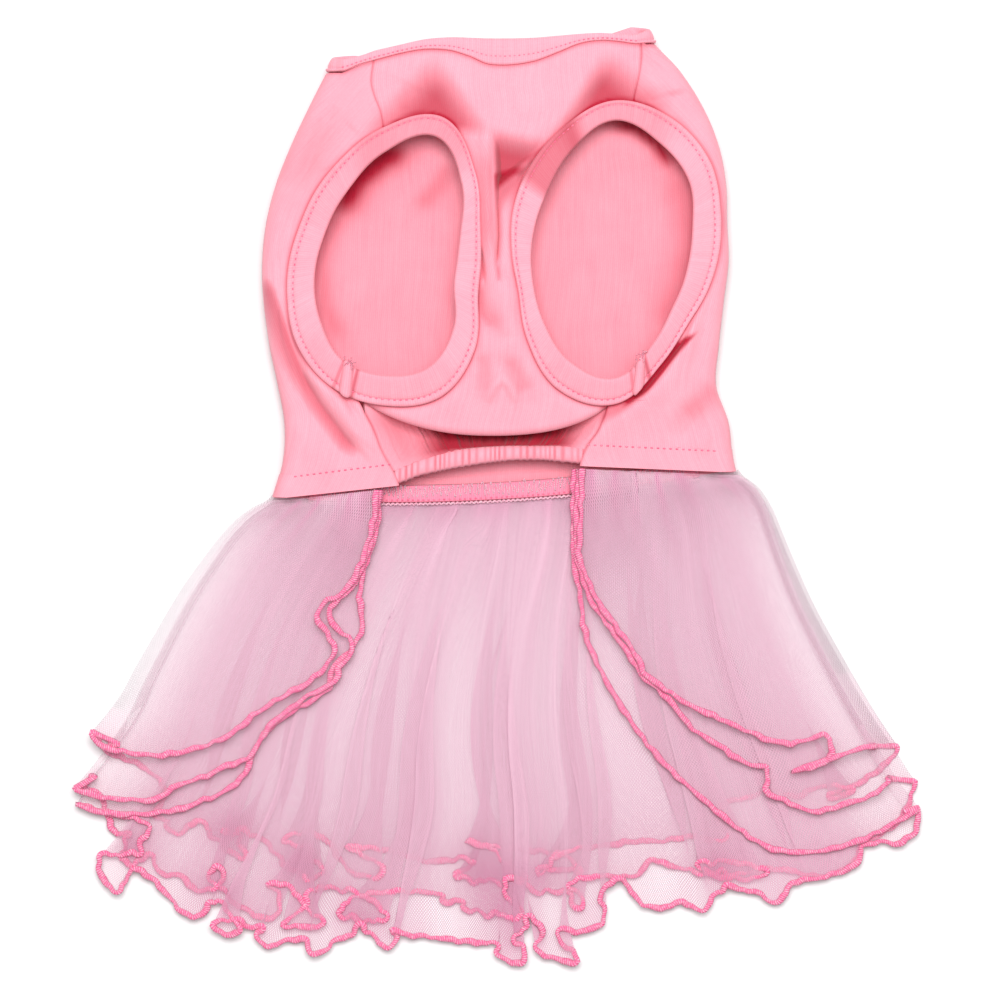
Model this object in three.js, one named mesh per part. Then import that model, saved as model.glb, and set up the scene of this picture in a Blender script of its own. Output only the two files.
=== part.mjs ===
// A small dog's dress: a pink jersey bodice with a three-layer tulle skirt.
// It lies flat on its back with the belly side up. Millimetres: +X to the right,
// +Y towards the neck, +Z up from the table. Every piece is a closed wall of cloth.
import * as THREE from 'three';

// Cloth walls and the gaps between sewn pieces.
const JERSEY = 1.4;
const FOLDED_JERSEY = 2.2;
const BINDING = 2.6;
const TULLE = 1.0;
const TULLE_PITCH = 1.6;
const SEAM_GAP = 0.3;
const SHOULDER_GAP = 0.6;
const BINDING_GAP = 1.0;

// Widths and lengths along the body.
const HEM_DEPTH = 9;
const BACK_HEM_DROP = 5;
const BACK_NECK_DROP = 8;
const BACK_NECK_BAND = 7;
const WAIST_SEAM_WIDTH = 7;
const WAIST_SEAM_INSET = 6;

// Where the body tube starts and ends, at its two side folds and at the back
// panel's two belly-side edges.
const SIDES = {
  left: { hem: 0.4, hemEdge: 5.2, neck: 169.2, neckEdge: 174.0 },
  right: { hem: 10.6, hemEdge: 13.0, neck: 180.2, neckEdge: 180.8 },
};

// The flattened body tube: its side folds, and the height of the belly layer
// at the sides and how much higher it is along the middle.
const BODY = [
  { y: -20, left: -93.0, right: 102.0, side: 9.5, crown: 1.0 },
  { y: 0, left: -88.2, right: 98.5, side: 11.0, crown: 1.5 },
  { y: 15, left: -84.6, right: 95.0, side: 12.0, crown: 2.2 },
  { y: 30, left: -84.8, right: 92.8, side: 12.8, crown: 4.0 },
  { y: 45, left: -87.4, right: 89.6, side: 13.4, crown: 6.2 },
  { y: 60, left: -90.4, right: 91.4, side: 13.8, crown: 7.0 },
  { y: 80, left: -92.8, right: 93.3, side: 14.0, crown: 7.2 },
  { y: 95, left: -92.4, right: 94.0, side: 14.0, crown: 7.2 },
  { y: 110, left: -90.7, right: 93.2, side: 14.0, crown: 7.0 },
  { y: 125, left: -87.2, right: 91.8, side: 13.8, crown: 6.6 },
  { y: 140, left: -81.8, right: 88.4, side: 13.6, crown: 6.0 },
  { y: 155, left: -75.2, right: 81.8, side: 13.2, crown: 5.0 },
  { y: 170, left: -67.4, right: 72.6, side: 12.6, crown: 3.8 },
  { y: 185, left: -59.0, right: 60.6, side: 12.0, crown: 3.0 },
];
const BODY_HALF_WIDTH = 92;
const BACK_ROWS = 20;
const ARMHOLE_TOP_ROWS = [0.825, 0.84];

// The armholes: how far the inner and outer edges of the binding lie from the
// middle of the hole, every 22.5 degrees counterclockwise from +X, and how far
// the inner edge stands above the outer one.
const ARMHOLES = {
  left: {
    middle: [-44.0, 94.6],
    outer: [38.6, 41.4, 50.8, 61.4, 53.0, 44.0, 38.8, 36.4,
      37.8, 41.8, 48.6, 54.6, 57.8, 58.8, 50.8, 40.4],
    inner: [29.0, 33.0, 43.4, 53.2, 42.8, 32.8, 27.8, 25.8,
      26.8, 30.0, 35.4, 43.0, 45.8, 46.1, 38.8, 30.0],
    tilt: [0.4, 0.8, 1.4, 1.6, 1.0, 0.2, -0.4, -0.8,
      -0.8, -0.4, 0.2, 0.8, 1.2, 1.4, 1.0, 0.6],
  },
  right: {
    middle: [47.6, 97.0],
    outer: [41.4, 45.6, 53.2, 58.8, 61.2, 54.4, 48.4, 44.0,
      41.0, 41.4, 49.0, 58.4, 59.6, 47.6, 40.4, 39.6],
    inner: [30.0, 33.6, 41.6, 47.6, 53.2, 44.6, 37.0, 33.8,
      33.2, 34.8, 39.4, 46.2, 49.2, 38.8, 31.8, 29.6],
    tilt: [1.8, 1.2, 0.6, 0.4, 0.8, 1.0, 0.6, 0.2,
      0.0, 0.2, 0.6, 1.0, 1.2, 1.6, 2.4, 2.4],
  },
};
const ARMHOLE_STATIONS = 38;

// Where each binding's sewn end stands on its band, and half of how far it spans, in degrees.
const BINDING_JOINTS = {
  left: { bearing: 253, halfSpan: 2.2 },
  right: { bearing: 283, halfSpan: 2.8 },
};
const JOINT_RISE = 0.9;

// The seams between the back panel's belly-side edges and the chest panel:
// below the armholes, and over the shoulders.
const SEAMS = {
  left: {
    below: [[-37.4, 0], [-38.6, 5], [-40.5, 11], [-43.5, 18], [-49.5, 27.5], [-54.2, 37]],
    shoulder: [[-44.4, 147], [-45.6, 154], [-48.0, 160.4], [-49.2, 166], [-48.2, 175]],
  },
  right: {
    below: [[32.8, 5], [33.6, 11], [36.0, 20], [40.4, 26], [47.0, 31.5],
      [54.5, 37.5], [59.0, 44]],
    shoulder: [[55.2, 158.6], [56.4, 164], [57.6, 170], [58.2, 176.5], [57.6, 183]],
  },
};

// The neck binding on the belly side: its sewn edge and its free edge.
const NECK = [
  { x: -60.5, seam: 171.2, free: 177.8 },
  { x: -54.0, seam: 173.4, free: 178.0 },
  { x: -47.6, seam: 174.8, free: 180.6 },
  { x: -38.0, seam: 177.3, free: 182.0 },
  { x: -28.0, seam: 179.2, free: 184.0 },
  { x: -18.0, seam: 178.9, free: 184.4 },
  { x: -10.0, seam: 176.3, free: 184.0 },
  { x: -3.0, seam: 173.2, free: 183.6 },
  { x: 6.0, seam: 172.8, free: 183.6 },
  { x: 16.0, seam: 174.4, free: 184.0 },
  { x: 25.0, seam: 177.8, free: 185.2 },
  { x: 34.0, seam: 181.6, free: 185.9 },
  { x: 42.0, seam: 183.0, free: 186.0 },
  { x: 49.0, seam: 182.8, free: 186.0 },
  { x: 56.0, seam: 181.9, free: 186.0 },
];
const NECK_FOLD_BAND = 4;
const NECK_FOLD_PULL = 2;

// Rows of the chest panel, from the neck to the lip that hangs over the waist.
// Each row runs from the left edge to the right one: to a height on the
// shoulder seam, or to a bearing on the armhole. Sag moves its middle along Y,
// evenly; dip does so away from its ends; climb lifts it over the left armhole.
const CHEST_ROWS = [
  { leftSeam: 174.4, rightSeam: 181.0, sag: 0 },
  { leftSeam: 167.0, rightSeam: 173.0, sag: -1 },
  { leftSeam: 159.0, rightSeam: 166.0, sag: -1 },
  { leftBearing: 88, rightBearing: 86, sag: 0, climb: 6 },
  { leftBearing: 75, rightBearing: 100, sag: 0, dip: -9 },
  { leftBearing: 62, rightBearing: 114, sag: 0, dip: -7 },
  { leftBearing: 50, rightBearing: 127, sag: 0, dip: -2 },
  { leftBearing: 38, rightBearing: 140, sag: 0 },
  { leftBearing: 22, rightBearing: 157, sag: 0 },
  { leftBearing: 4, rightBearing: 175, sag: 0 },
  { leftBearing: -15, rightBearing: 194, sag: 0 },
  { leftBearing: -32, rightBearing: 212, sag: 0 },
  { leftBearing: -46, rightBearing: 226, sag: -2 },
  { leftBearing: -57, rightBearing: 238, sag: -4 },
  { leftBearing: -67, rightBearing: 248, sag: -7 },
  { leftBearing: -77, rightBearing: 257, sag: -9 },
  { leftBearing: -86, rightBearing: 265, sag: -11 },
  { leftBearing: -94, rightBearing: 273, sag: -14 },
  { leftBearing: -102, rightBearing: 279, sag: -18 },
];
const CHEST_COLUMNS = 16;
const CLIMB_REACH = 0.45;

// Under the lip the chest panel turns back, drops and comes forward to the casing: how far
// each row moves back and down, how much of the way forward it has come, and how far it sinks.
const LIP_TURNS = [
  { back: 1.56, drop: 1.8, forward: 0, sink: 0 },
  { back: 2.6, drop: 4.2, forward: 0.12, sink: 0 },
  { back: 0, drop: 0, forward: 0.7, sink: 5 },
  { back: 0, drop: 0, forward: 1, sink: 5 },
];

// The elastic casing along the belly edge: its two long edges.
const CASING = [
  { x: -38.4, upper: 12.6, lower: 5.6 },
  { x: -30.0, upper: 15.6, lower: 9.6 },
  { x: -18.0, upper: 19.0, lower: 11.2 },
  { x: -6.0, upper: 20.4, lower: 13.6 },
  { x: 6.0, upper: 21.0, lower: 15.0 },
  { x: 18.0, upper: 21.0, lower: 15.2 },
  { x: 28.0, upper: 21.0, lower: 14.4 },
  { x: 34.6, upper: 20.6, lower: 13.8 },
];
const CASING_HEIGHT = 11.6;
const CASING_GATHERS = 22;
const CASING_PUFF = 0.4;

// The largest folds of the bodice: soft ridges (rise above 0) and troughs.
const CHEST_FOLDS = [
  { from: [-25, 174], to: [-21, 154], width: 9, rise: -2.4 },
  { from: [44, 174], to: [38, 160], width: 9, rise: -2.2 },
  { from: [12, 172], to: [19, 143], width: 10, rise: -3.2 },
  { from: [-8, 172], to: [2, 150], width: 8, rise: 1.8 },
  { from: [-3, 138], to: [-2, 94], width: 5, rise: 3.0 },
  { from: [4, 128], to: [4, 92], width: 4, rise: -2.0 },
  { from: [-2, 84], to: [2, 66], width: 6, rise: -2.4 },
  { from: [-24, 33], to: [32, 34], width: 6, rise: 1.6 },
];
const SIDE_FOLDS = [
  { from: [-91, 96], to: [-76, 58], width: 4, rise: 1.6 },
  { from: [-76, 58], to: [-52, 38], width: 4, rise: 2.0 },
  { from: [-88, 78], to: [-66, 26], width: 6, rise: -3.0 },
  { from: [-75, 48], to: [-48, 20], width: 6, rise: 1.4 },
  { from: [92, 94], to: [72, 62], width: 4, rise: 2.2 },
  { from: [72, 62], to: [40, 26], width: 4.5, rise: 3.0 },
  { from: [80, 90], to: [56, 38], width: 4.5, rise: -3.4 },
];

// The skirt: its two side folds as seen from above, from waist to tip, and the
// lower edge of its longest layer from the left tip to the right one.
const SKIRT_SIDES = {
  left: [[-88.6, -0.6], [-96, -6], [-107, -14], [-119, -25], [-129, -40],
    [-137, -58], [-144, -73], [-153, -86], [-162, -99], [-169, -110], [-172, -121]],
  right: [[97.0, 9.4], [104, 4.5], [110, -3.5], [114, -13], [120, -26],
    [128, -43], [137, -62], [148, -83], [161, -99], [168, -111], [172, -122]],
};
const SKIRT_HEM = [[-168, -121], [-160, -145], [-140, -157], [-118, -167], [-96, -175],
  [-66, -181], [-34, -179], [0, -181], [26, -183], [48, -170], [78, -165],
  [108, -160], [136, -151], [158, -139], [168, -122]];

// The front edges of each layer, from the waist seam to the tip, and how far
// down the longest layer's length the layer reaches.
const SKIRT_LAYERS = [
  {
    name: 'skirt_outer', reach: 0.8,
    left: [[-46.4, 3.4], [-48, -14], [-55, -30], [-66, -42], [-66, -58], [-80, -76],
      [-98, -86], [-118, -98], [-138, -101.6], [-152, -98], [-157, -95]],
    right: [[32.6, 11.8], [31.6, -14], [38, -34], [52, -54], [62, -72], [76, -83],
      [96, -90], [114, -97], [128, -96], [133, -98], [137, -100]],
  },
  {
    name: 'skirt_middle', reach: 0.9,
    left: [[-47.2, 3.3], [-49.5, -14], [-54, -32], [-60, -50], [-64, -66], [-72, -78],
      [-92, -92], [-108, -104], [-128, -115], [-148, -119], [-163, -115]],
    right: [[31.8, 11.8], [31.2, -14], [40, -37], [55, -57], [66, -75], [80, -91],
      [98, -102], [112, -111], [130, -124], [143, -122], [151, -116]],
  },
  {
    name: 'skirt_inner', reach: 1.0,
    left: [[-48, 3.2], [-51, -14], [-55, -36], [-61, -56], [-67, -72], [-82, -86],
      [-95, -98], [-104, -114], [-124, -124], [-148, -127], [-165, -122]],
    right: [[31, 11.8], [31, -24], [35, -54], [46, -78], [60, -98], [78, -118],
      [98, -134], [116, -141], [138, -138], [155, -130], [165, -124]],
  },
];
const SKIRT_ROWS = [0, 0.09, 0.19, 0.3, 0.42, 0.54, 0.67, 0.8, 0.85, 0.9, 0.95, 1];
const SKIRT_FRONT_HEIGHT = { tip: 9.2, waist: 12.4, fall: 35 };

// The back of the skirt fans out in pleats: shares of its width where it is
// folded, and how far each fold stands off the table at the hem.
const SKIRT_FAN = [
  { at: 0, lift: 0 },
  { at: 0.12, lift: 0.3 },
  { at: 0.2, lift: 0 },
  { at: 0.28, lift: 1.8 },
  { at: 0.32, lift: 0.2 },
  { at: 0.37, lift: 2.4 },
  { at: 0.41, lift: 0.4 },
  { at: 0.46, lift: 3.0 },
  { at: 0.5, lift: 1.6 },
  { at: 0.54, lift: 3.4 },
  { at: 0.565, lift: 0.4 },
  { at: 0.6, lift: 3.0 },
  { at: 0.64, lift: 0.4 },
  { at: 0.69, lift: 1.8 },
  { at: 0.75, lift: 0.2 },
  { at: 0.85, lift: 0.4 },
  { at: 1, lift: 0 },
];
const FLAP_RIPPLE = 0.5;

// The middle of the dress's footprint on the table, which becomes the origin.
const FOOTPRINT_MIDDLE = { x: 0, y: 1.5 };

const PINK = { color: 0xf59bb4, roughness: 0.9, metalness: 0 };
const DEEP_PINK = { color: 0xe96a9b, roughness: 0.8, metalness: 0 };
const TULLE_PINK = { color: 0xe9bcd2, roughness: 0.7, metalness: 0 };

function lerp(a, b, t) {
  return a + (b - a) * t;
}

function smooth(t) {
  const k = Math.min(1, Math.max(0, t));
  return k * k * (3 - 2 * k);
}

// A smooth curve through four neighbouring values, at t between the middle two.
function cubic(a, b, c, d, t) {
  const m = (c - a) / 2;
  const n = (d - b) / 2;
  const k = b - c;
  return b + t * (m + t * (-3 * k - 2 * m - n + t * (2 * k + m + n)));
}

// Reads a column of a table whose rows are in order of the key column.
function readTable(table, key, column, at) {
  const last = table.length - 1;
  let i = 0;
  while (i < last - 1 && at > table[i + 1][key]) i += 1;
  const span = table[i + 1][key] - table[i][key];
  const t = Math.min(1, Math.max(0, (at - table[i][key]) / span));
  const value = (k) => table[Math.min(last, Math.max(0, k))][column];
  return cubic(value(i - 1), value(i), value(i + 1), value(i + 2), t);
}

// Reads a ring of equally spaced values at a bearing in degrees.
function readRing(ring, bearing) {
  const n = ring.length;
  const place = ((((bearing % 360) + 360) % 360) / 360) * n;
  const i = Math.floor(place);
  const value = (k) => ring[(k + n) % n];
  return cubic(value(i - 1), value(i), value(i + 1), value(i + 2), place - i);
}

// A point at share t along a smooth curve through [x, y] points.
function alongPath(points, t) {
  const place = Math.min(1, Math.max(0, t)) * (points.length - 1);
  const i = Math.min(points.length - 2, Math.floor(place));
  const value = (k, axis) => points[Math.min(points.length - 1, Math.max(0, k))][axis];
  const read = (axis) => cubic(value(i - 1, axis), value(i, axis), value(i + 1, axis),
    value(i + 2, axis), place - i);
  return [read(0), read(1)];
}

// A point at share t along a side fold of the skirt, moved in towards the body.
function insidePath(points, t, inset) {
  const here = alongPath(points, t);
  const before = alongPath(points, t - 0.02);
  const after = alongPath(points, t + 0.02);
  const along = [after[0] - before[0], after[1] - before[1]];
  const length = Math.hypot(along[0], along[1]);
  const turn = here[0] < 0 ? 1 : -1;
  return [here[0] - (turn * along[1] * inset) / length, here[1] + (turn * along[0] * inset) / length];
}

// The X of a seam, given as [x, y] points in order of Y, at a height y.
function seamAt(points, y) {
  return readTable(points.map((p) => ({ x: p[0], y: p[1] })), 'y', 'x', y);
}

// The height of the belly layer's middle plane over the table.
function bellyHeight(x, y) {
  const side = readTable(BODY, 'y', 'side', y);
  const crown = readTable(BODY, 'y', 'crown', y);
  return side + crown * Math.max(0, 1 - (x / BODY_HALF_WIDTH) ** 2);
}

// How far soft folds raise or lower a sheet at (x, y).
function foldRelief(folds, x, y) {
  let relief = 0;
  for (const fold of folds) {
    const dx = fold.to[0] - fold.from[0];
    const dy = fold.to[1] - fold.from[1];
    const length = Math.hypot(dx, dy);
    const along = ((x - fold.from[0]) * dx + (y - fold.from[1]) * dy) / length;
    const across = ((x - fold.from[0]) * dy - (y - fold.from[1]) * dx) / length;
    const beyond = Math.max(0, -along, along - length);
    relief += fold.rise * Math.exp(-((across ** 2 + beyond ** 2) / fold.width ** 2));
  }
  return relief;
}

// A point on one edge of an armhole's binding, moved outward by a clearance.
function armholePoint(side, edge, bearing, clearance = 0) {
  const hole = ARMHOLES[side];
  const reach = readRing(hole[edge], bearing) + clearance;
  const angle = THREE.MathUtils.degToRad(bearing);
  const x = hole.middle[0] + reach * Math.cos(angle);
  const y = hole.middle[1] + reach * Math.sin(angle);
  const lift = edge === 'inner' ? readRing(hole.tilt, bearing) : 0;
  return new THREE.Vector3(x, y, bellyHeight(x, y) + lift);
}

// The X of an armhole's outer edge at a height y, on the side of the body fold.
function armholeEdgeAt(side, y) {
  let high = 90;
  let low = side === 'left' ? 264 : -88;
  for (let step = 0; step < 24; step += 1) {
    const bearing = (high + low) / 2;
    if (armholePoint(side, 'outer', bearing, BINDING_GAP).y > y) high = bearing;
    else low = bearing;
  }
  return armholePoint(side, 'outer', (high + low) / 2, BINDING_GAP).x;
}

// The belly-side edge of the back panel at a height y.
function backPanelEdge(side, y) {
  const seams = SEAMS[side];
  const outward = side === 'left' ? -SHOULDER_GAP / 2 : SHOULDER_GAP / 2;
  const lowTop = seams.below[seams.below.length - 1][1];
  const shoulderFoot = seams.shoulder[0][1];
  if (y <= lowTop) return seamAt(seams.below, y) + outward;
  if (y >= shoulderFoot) return seamAt(seams.shoulder, y) + outward;
  return armholeEdgeAt(side, y);
}

// A closed wall of cloth: a grid of points, thickened half to each side along
// its normals, with its four edges closed.
function wallFromGrid(grid, thickness) {
  const rows = grid.length;
  const columns = grid[0].length;
  const normalAt = (r, c) => {
    const down = grid[Math.min(rows - 1, r + 1)][c].clone().sub(grid[Math.max(0, r - 1)][c]);
    const across = grid[r][Math.min(columns - 1, c + 1)].clone();
    across.sub(grid[r][Math.max(0, c - 1)]);
    return across.cross(down).normalize();
  };
  const positions = [];
  for (const side of [0.5, -0.5]) {
    for (let r = 0; r < rows; r += 1) {
      for (let c = 0; c < columns; c += 1) {
        const point = grid[r][c].clone().addScaledVector(normalAt(r, c), side * thickness);
        positions.push(point.x, point.y, point.z);
      }
    }
  }
  const faces = [];
  const quad = (a, b, c, d) => faces.push(a, b, c, a, c, d);
  const top = (r, c) => r * columns + c;
  const under = (r, c) => rows * columns + top(r, c);
  for (let r = 0; r < rows - 1; r += 1) {
    for (let c = 0; c < columns - 1; c += 1) {
      quad(top(r, c), top(r, c + 1), top(r + 1, c + 1), top(r + 1, c));
      quad(under(r, c), under(r + 1, c), under(r + 1, c + 1), under(r, c + 1));
    }
    quad(top(r, 0), top(r + 1, 0), under(r + 1, 0), under(r, 0));
    quad(top(r + 1, columns - 1), top(r, columns - 1),
      under(r, columns - 1), under(r + 1, columns - 1));
  }
  for (let c = 0; c < columns - 1; c += 1) {
    quad(top(0, c + 1), top(0, c), under(0, c), under(0, c + 1));
    quad(top(rows - 1, c), top(rows - 1, c + 1), under(rows - 1, c + 1), under(rows - 1, c));
  }
  return geometryOf(positions, faces);
}

// A band with rounded edges that follows pairs of points, one pair a station.
function bandFromPairs(pairs, thickness, closed) {
  const positions = [];
  const faces = [];
  const corners = 6;
  const count = pairs.length;
  for (let i = 0; i < count; i += 1) {
    const [a, b] = pairs[i];
    const next = pairs[closed ? (i + 1) % count : Math.min(count - 1, i + 1)];
    const before = pairs[closed ? (i - 1 + count) % count : Math.max(0, i - 1)];
    const along = next[0].clone().add(next[1]).sub(before[0]).sub(before[1]);
    const across = b.clone().sub(a);
    const width = across.length();
    across.normalize();
    const normal = across.clone().cross(along).normalize();
    const round = Math.min(thickness / 2, width / 3);
    const place = (share, lift) => {
      const point = a.clone().addScaledVector(across, share);
      point.addScaledVector(normal, lift * thickness);
      positions.push(point.x, point.y, point.z);
    };
    place(0, 0);
    place(round, -0.5);
    place(width - round, -0.5);
    place(width, 0);
    place(width - round, 0.5);
    place(round, 0.5);
  }
  const rings = closed ? count : count - 1;
  for (let i = 0; i < rings; i += 1) {
    for (let k = 0; k < corners; k += 1) {
      const here = i * corners + k;
      const aside = i * corners + ((k + 1) % corners);
      const ahead = ((i + 1) % count) * corners;
      faces.push(here, aside, ahead + ((k + 1) % corners));
      faces.push(here, ahead + ((k + 1) % corners), ahead + k);
    }
  }
  if (!closed) {
    const last = (count - 1) * corners;
    for (let k = 1; k < corners - 1; k += 1) {
      faces.push(0, k + 1, k);
      faces.push(last, last + k, last + k + 1);
    }
  }
  return geometryOf(positions, faces);
}

// Makes the geometry and turns its faces outward where its volume is negative.
function geometryOf(positions, faces) {
  let volume = 0;
  const at = (i) => new THREE.Vector3().fromArray(positions, i * 3);
  for (let f = 0; f < faces.length; f += 3) {
    volume += at(faces[f]).dot(at(faces[f + 1]).cross(at(faces[f + 2])));
  }
  if (volume < 0) {
    for (let f = 0; f < faces.length; f += 3) {
      [faces[f + 1], faces[f + 2]] = [faces[f + 2], faces[f + 1]];
    }
  }
  const geometry = new THREE.BufferGeometry();
  geometry.setAttribute('position', new THREE.Float32BufferAttribute(positions, 3));
  geometry.setIndex(faces);
  geometry.computeVertexNormals();
  return geometry;
}

// How many steps a section takes along each belly-side strip, round each side
// fold and along the table.
const BODICE_STEPS = { front: 6, fold: 5, back: 5 };
const SKIRT_STEPS = { front: 4, fold: 4, back: SKIRT_FAN.length - 1 };

// One section of the flattened tube, as a C open on the belly side: from the
// left belly-side edge, round the left fold, along the table, round the right
// fold and back to the right edge.
function cSection(ends, tableHeight, steps, relief) {
  const section = [];
  const half = (side) => {
    const end = ends[side];
    const outward = side === 'left' ? -1 : 1;
    const strip = Math.abs(end.fold - end.edge);
    const rise = (end.height - tableHeight) / 2;
    const round = Math.min(rise, strip * 0.8);
    const points = [];
    for (let i = 0; i < steps.front; i += 1) {
      const t = i / steps.front;
      const x = lerp(end.edge, end.fold - outward * round, t);
      const y = lerp(end.edgeY, end.y, t);
      const z = lerp(end.edgeHeight, end.height, t) + relief(x, y, i) * (1 - t ** 4);
      points.push(new THREE.Vector3(x, y, z));
    }
    for (let i = 0; i <= steps.fold; i += 1) {
      const angle = (i / steps.fold) * Math.PI;
      const x = end.fold - outward * round * (1 - Math.sin(angle));
      const z = tableHeight + rise * (1 + Math.cos(angle));
      points.push(new THREE.Vector3(x, end.y, z));
    }
    return points;
  };
  const left = half('left');
  const right = half('right').reverse();
  section.push(...left);
  const from = left[left.length - 1];
  const to = right[0];
  for (let i = 1; i < steps.back; i += 1) {
    const t = i / steps.back;
    const x = lerp(from.x, to.x, t);
    const y = lerp(from.y, to.y, t) - ends.drop * 4 * t * (1 - t);
    section.push(new THREE.Vector3(x, y, tableHeight));
  }
  section.push(...right);
  return section;
}

// A section of the bodice's back panel at a distance up from the hem, as a
// share of the way to the neck (share) and a distance in millimetres (above).
function bodySection(share, above, wall) {
  const hemDrop = BACK_HEM_DROP * (1 - smooth(share * 2));
  const ends = { drop: hemDrop + BACK_NECK_DROP * smooth(share * 2 - 1) };
  for (const side of ['left', 'right']) {
    const { hem, hemEdge, neck, neckEdge } = SIDES[side];
    const y = lerp(hem + above, neck, share);
    const edgeY = lerp(hemEdge + above, neckEdge, share);
    const edge = backPanelEdge(side, edgeY);
    ends[side] = {
      y,
      edgeY,
      edge,
      fold: readTable(BODY, 'y', side, y),
      edgeHeight: bellyHeight(edge, edgeY),
      height: readTable(BODY, 'y', 'side', y),
    };
  }
  return cSection(ends, wall / 2, BODICE_STEPS, (x, y) => foldRelief(SIDE_FOLDS, x, y));
}

// Rows are closer where the armholes' upper edges run across them.
function backPanel() {
  const shares = [];
  for (let r = 0; r <= BACK_ROWS; r += 1) shares.push(r / BACK_ROWS);
  shares.push(...ARMHOLE_TOP_ROWS);
  shares.sort((a, b) => a - b);
  const grid = shares.map((share) => bodySection(share, HEM_DEPTH + SEAM_GAP, JERSEY));
  return wallFromGrid(grid, JERSEY);
}

// The folded hem of the back panel, all round the waist.
function waistHem() {
  const grid = [0, HEM_DEPTH / 2, HEM_DEPTH].map((above) => bodySection(0, above, FOLDED_JERSEY));
  return wallFromGrid(grid, FOLDED_JERSEY);
}

// A row of the chest panel between two end points, with a sagging middle.
function chestRow(left, right, row) {
  const points = [];
  for (let c = 0; c <= CHEST_COLUMNS; c += 1) {
    const u = c / CHEST_COLUMNS;
    const x = lerp(left.x, right.x, u);
    let y = lerp(left.y, right.y, u) + row.sag * 4 * u * (1 - u);
    y += (row.dip ?? 0) * Math.sin(Math.PI * u) ** 2;
    y += (row.climb ?? 0) * Math.sin(Math.PI * Math.min(1, u / CLIMB_REACH));
    if (row.followsNeck) y = readTable(NECK, 'x', 'seam', x) - BINDING_GAP;
    points.push(new THREE.Vector3(x, y, 0));
  }
  return points;
}

function chestEnd(side, row) {
  const bearing = row[`${side}Bearing`];
  if (bearing !== undefined) return armholePoint(side, 'outer', bearing, BINDING_GAP);
  const y = row[`${side}Seam`];
  const inward = side === 'left' ? SHOULDER_GAP / 2 : -SHOULDER_GAP / 2;
  return new THREE.Vector3(seamAt(SEAMS[side].shoulder, y) + inward, y, 0);
}

// The chest panel hangs over the waist as a lip, turns back under itself and
// comes forward again to the elastic casing.
function chestPanel() {
  const grid = CHEST_ROWS.map((row, i) => {
    const line = chestRow(chestEnd('left', row), chestEnd('right', row),
      { ...row, followsNeck: i === 0 });
    for (const point of line) {
      point.z = bellyHeight(point.x, point.y) + foldRelief(CHEST_FOLDS, point.x, point.y);
    }
    return line;
  });
  const lip = grid[grid.length - 1];
  const columns = lip.map((point, c) => {
    const u = c / CHEST_COLUMNS;
    const x = lerp(CASING[0].x, CASING[CASING.length - 1].x, u);
    const y = readTable(CASING, 'x', 'upper', x) + SEAM_GAP;
    return { lip: point, casing: new THREE.Vector3(x, y, CASING_HEIGHT) };
  });
  for (const turn of LIP_TURNS) {
    grid.push(columns.map(({ lip: start, casing }, c) => {
      const u = c / CHEST_COLUMNS;
      const middle = 1 - (2 * u - 1) ** 4;
      const under = start.clone();
      under.y += turn.back * middle;
      under.z -= turn.drop * (0.5 + 0.5 * middle) + turn.sink;
      return under.lerp(casing, turn.forward);
    }));
  }
  return wallFromGrid(grid, JERSEY);
}

function armholeBinding(side) {
  const pairs = [];
  for (let i = 0; i < ARMHOLE_STATIONS; i += 1) {
    const bearing = (i / ARMHOLE_STATIONS) * 360;
    pairs.push([armholePoint(side, 'inner', bearing), armholePoint(side, 'outer', bearing)]);
  }
  return bandFromPairs(pairs, BINDING, true);
}

// The small turned-over end of the binding, on top of the band where it joins.
function bindingJoint(side) {
  const { bearing, halfSpan } = BINDING_JOINTS[side];
  const pairs = [];
  for (const turn of [-halfSpan, 0, halfSpan]) {
    const inner = armholePoint(side, 'inner', bearing + turn);
    const outer = armholePoint(side, 'outer', bearing + turn);
    const lift = BINDING / 2 + SEAM_GAP + JOINT_RISE;
    inner.z += lift;
    outer.z += lift;
    pairs.push([inner.clone().lerp(outer, -0.05), inner.clone().lerp(outer, 0.9)]);
  }
  return bandFromPairs(pairs, JERSEY, false);
}

// The neck binding is one closed band: along the belly side, and then along
// the back panel's top row, round the right fold, the back and the left fold.
function neckBinding() {
  const front = NECK.map(({ x, seam, free }) => {
    const z = bellyHeight(x, seam) + 0.4 * foldRelief(CHEST_FOLDS, x, seam);
    return [new THREE.Vector3(x, seam, z), new THREE.Vector3(x, free, z)];
  });
  const row = bodySection(1, 0, BINDING);
  const { front: strip, fold: turns } = BODICE_STEPS;
  const round = row.slice(strip + 1, row.length - strip - 1).reverse();
  const back = round.map((point, i) => {
    const inward = Math.min(i, round.length - 1 - i) / (turns - 1);
    const band = lerp(NECK_FOLD_BAND, BACK_NECK_BAND, smooth(inward));
    const seam = point.clone();
    seam.y += BINDING_GAP;
    const free = seam.clone();
    free.x -= Math.sign(point.x) * (1 - smooth(inward)) * NECK_FOLD_PULL;
    free.y += band;
    return [seam, free];
  });
  return bandFromPairs([...front, ...back], BINDING, true);
}

// The casing is gathered by its elastic, so its two faces swell and pinch.
function elasticCasing() {
  const pairs = [];
  const count = CASING_GATHERS;
  const first = CASING[0].x + SEAM_GAP;
  const last = CASING[CASING.length - 1].x - SEAM_GAP;
  for (let i = 0; i <= count; i += 1) {
    const x = lerp(first, last, i / count);
    const upper = readTable(CASING, 'x', 'upper', x) - SEAM_GAP;
    const lower = readTable(CASING, 'x', 'lower', x);
    const z = CASING_HEIGHT + (i % 2 ? CASING_PUFF : -CASING_PUFF);
    pairs.push([new THREE.Vector3(x, lower, z), new THREE.Vector3(x, upper, z)]);
  }
  return bandFromPairs(pairs, FOLDED_JERSEY, false);
}

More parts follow.
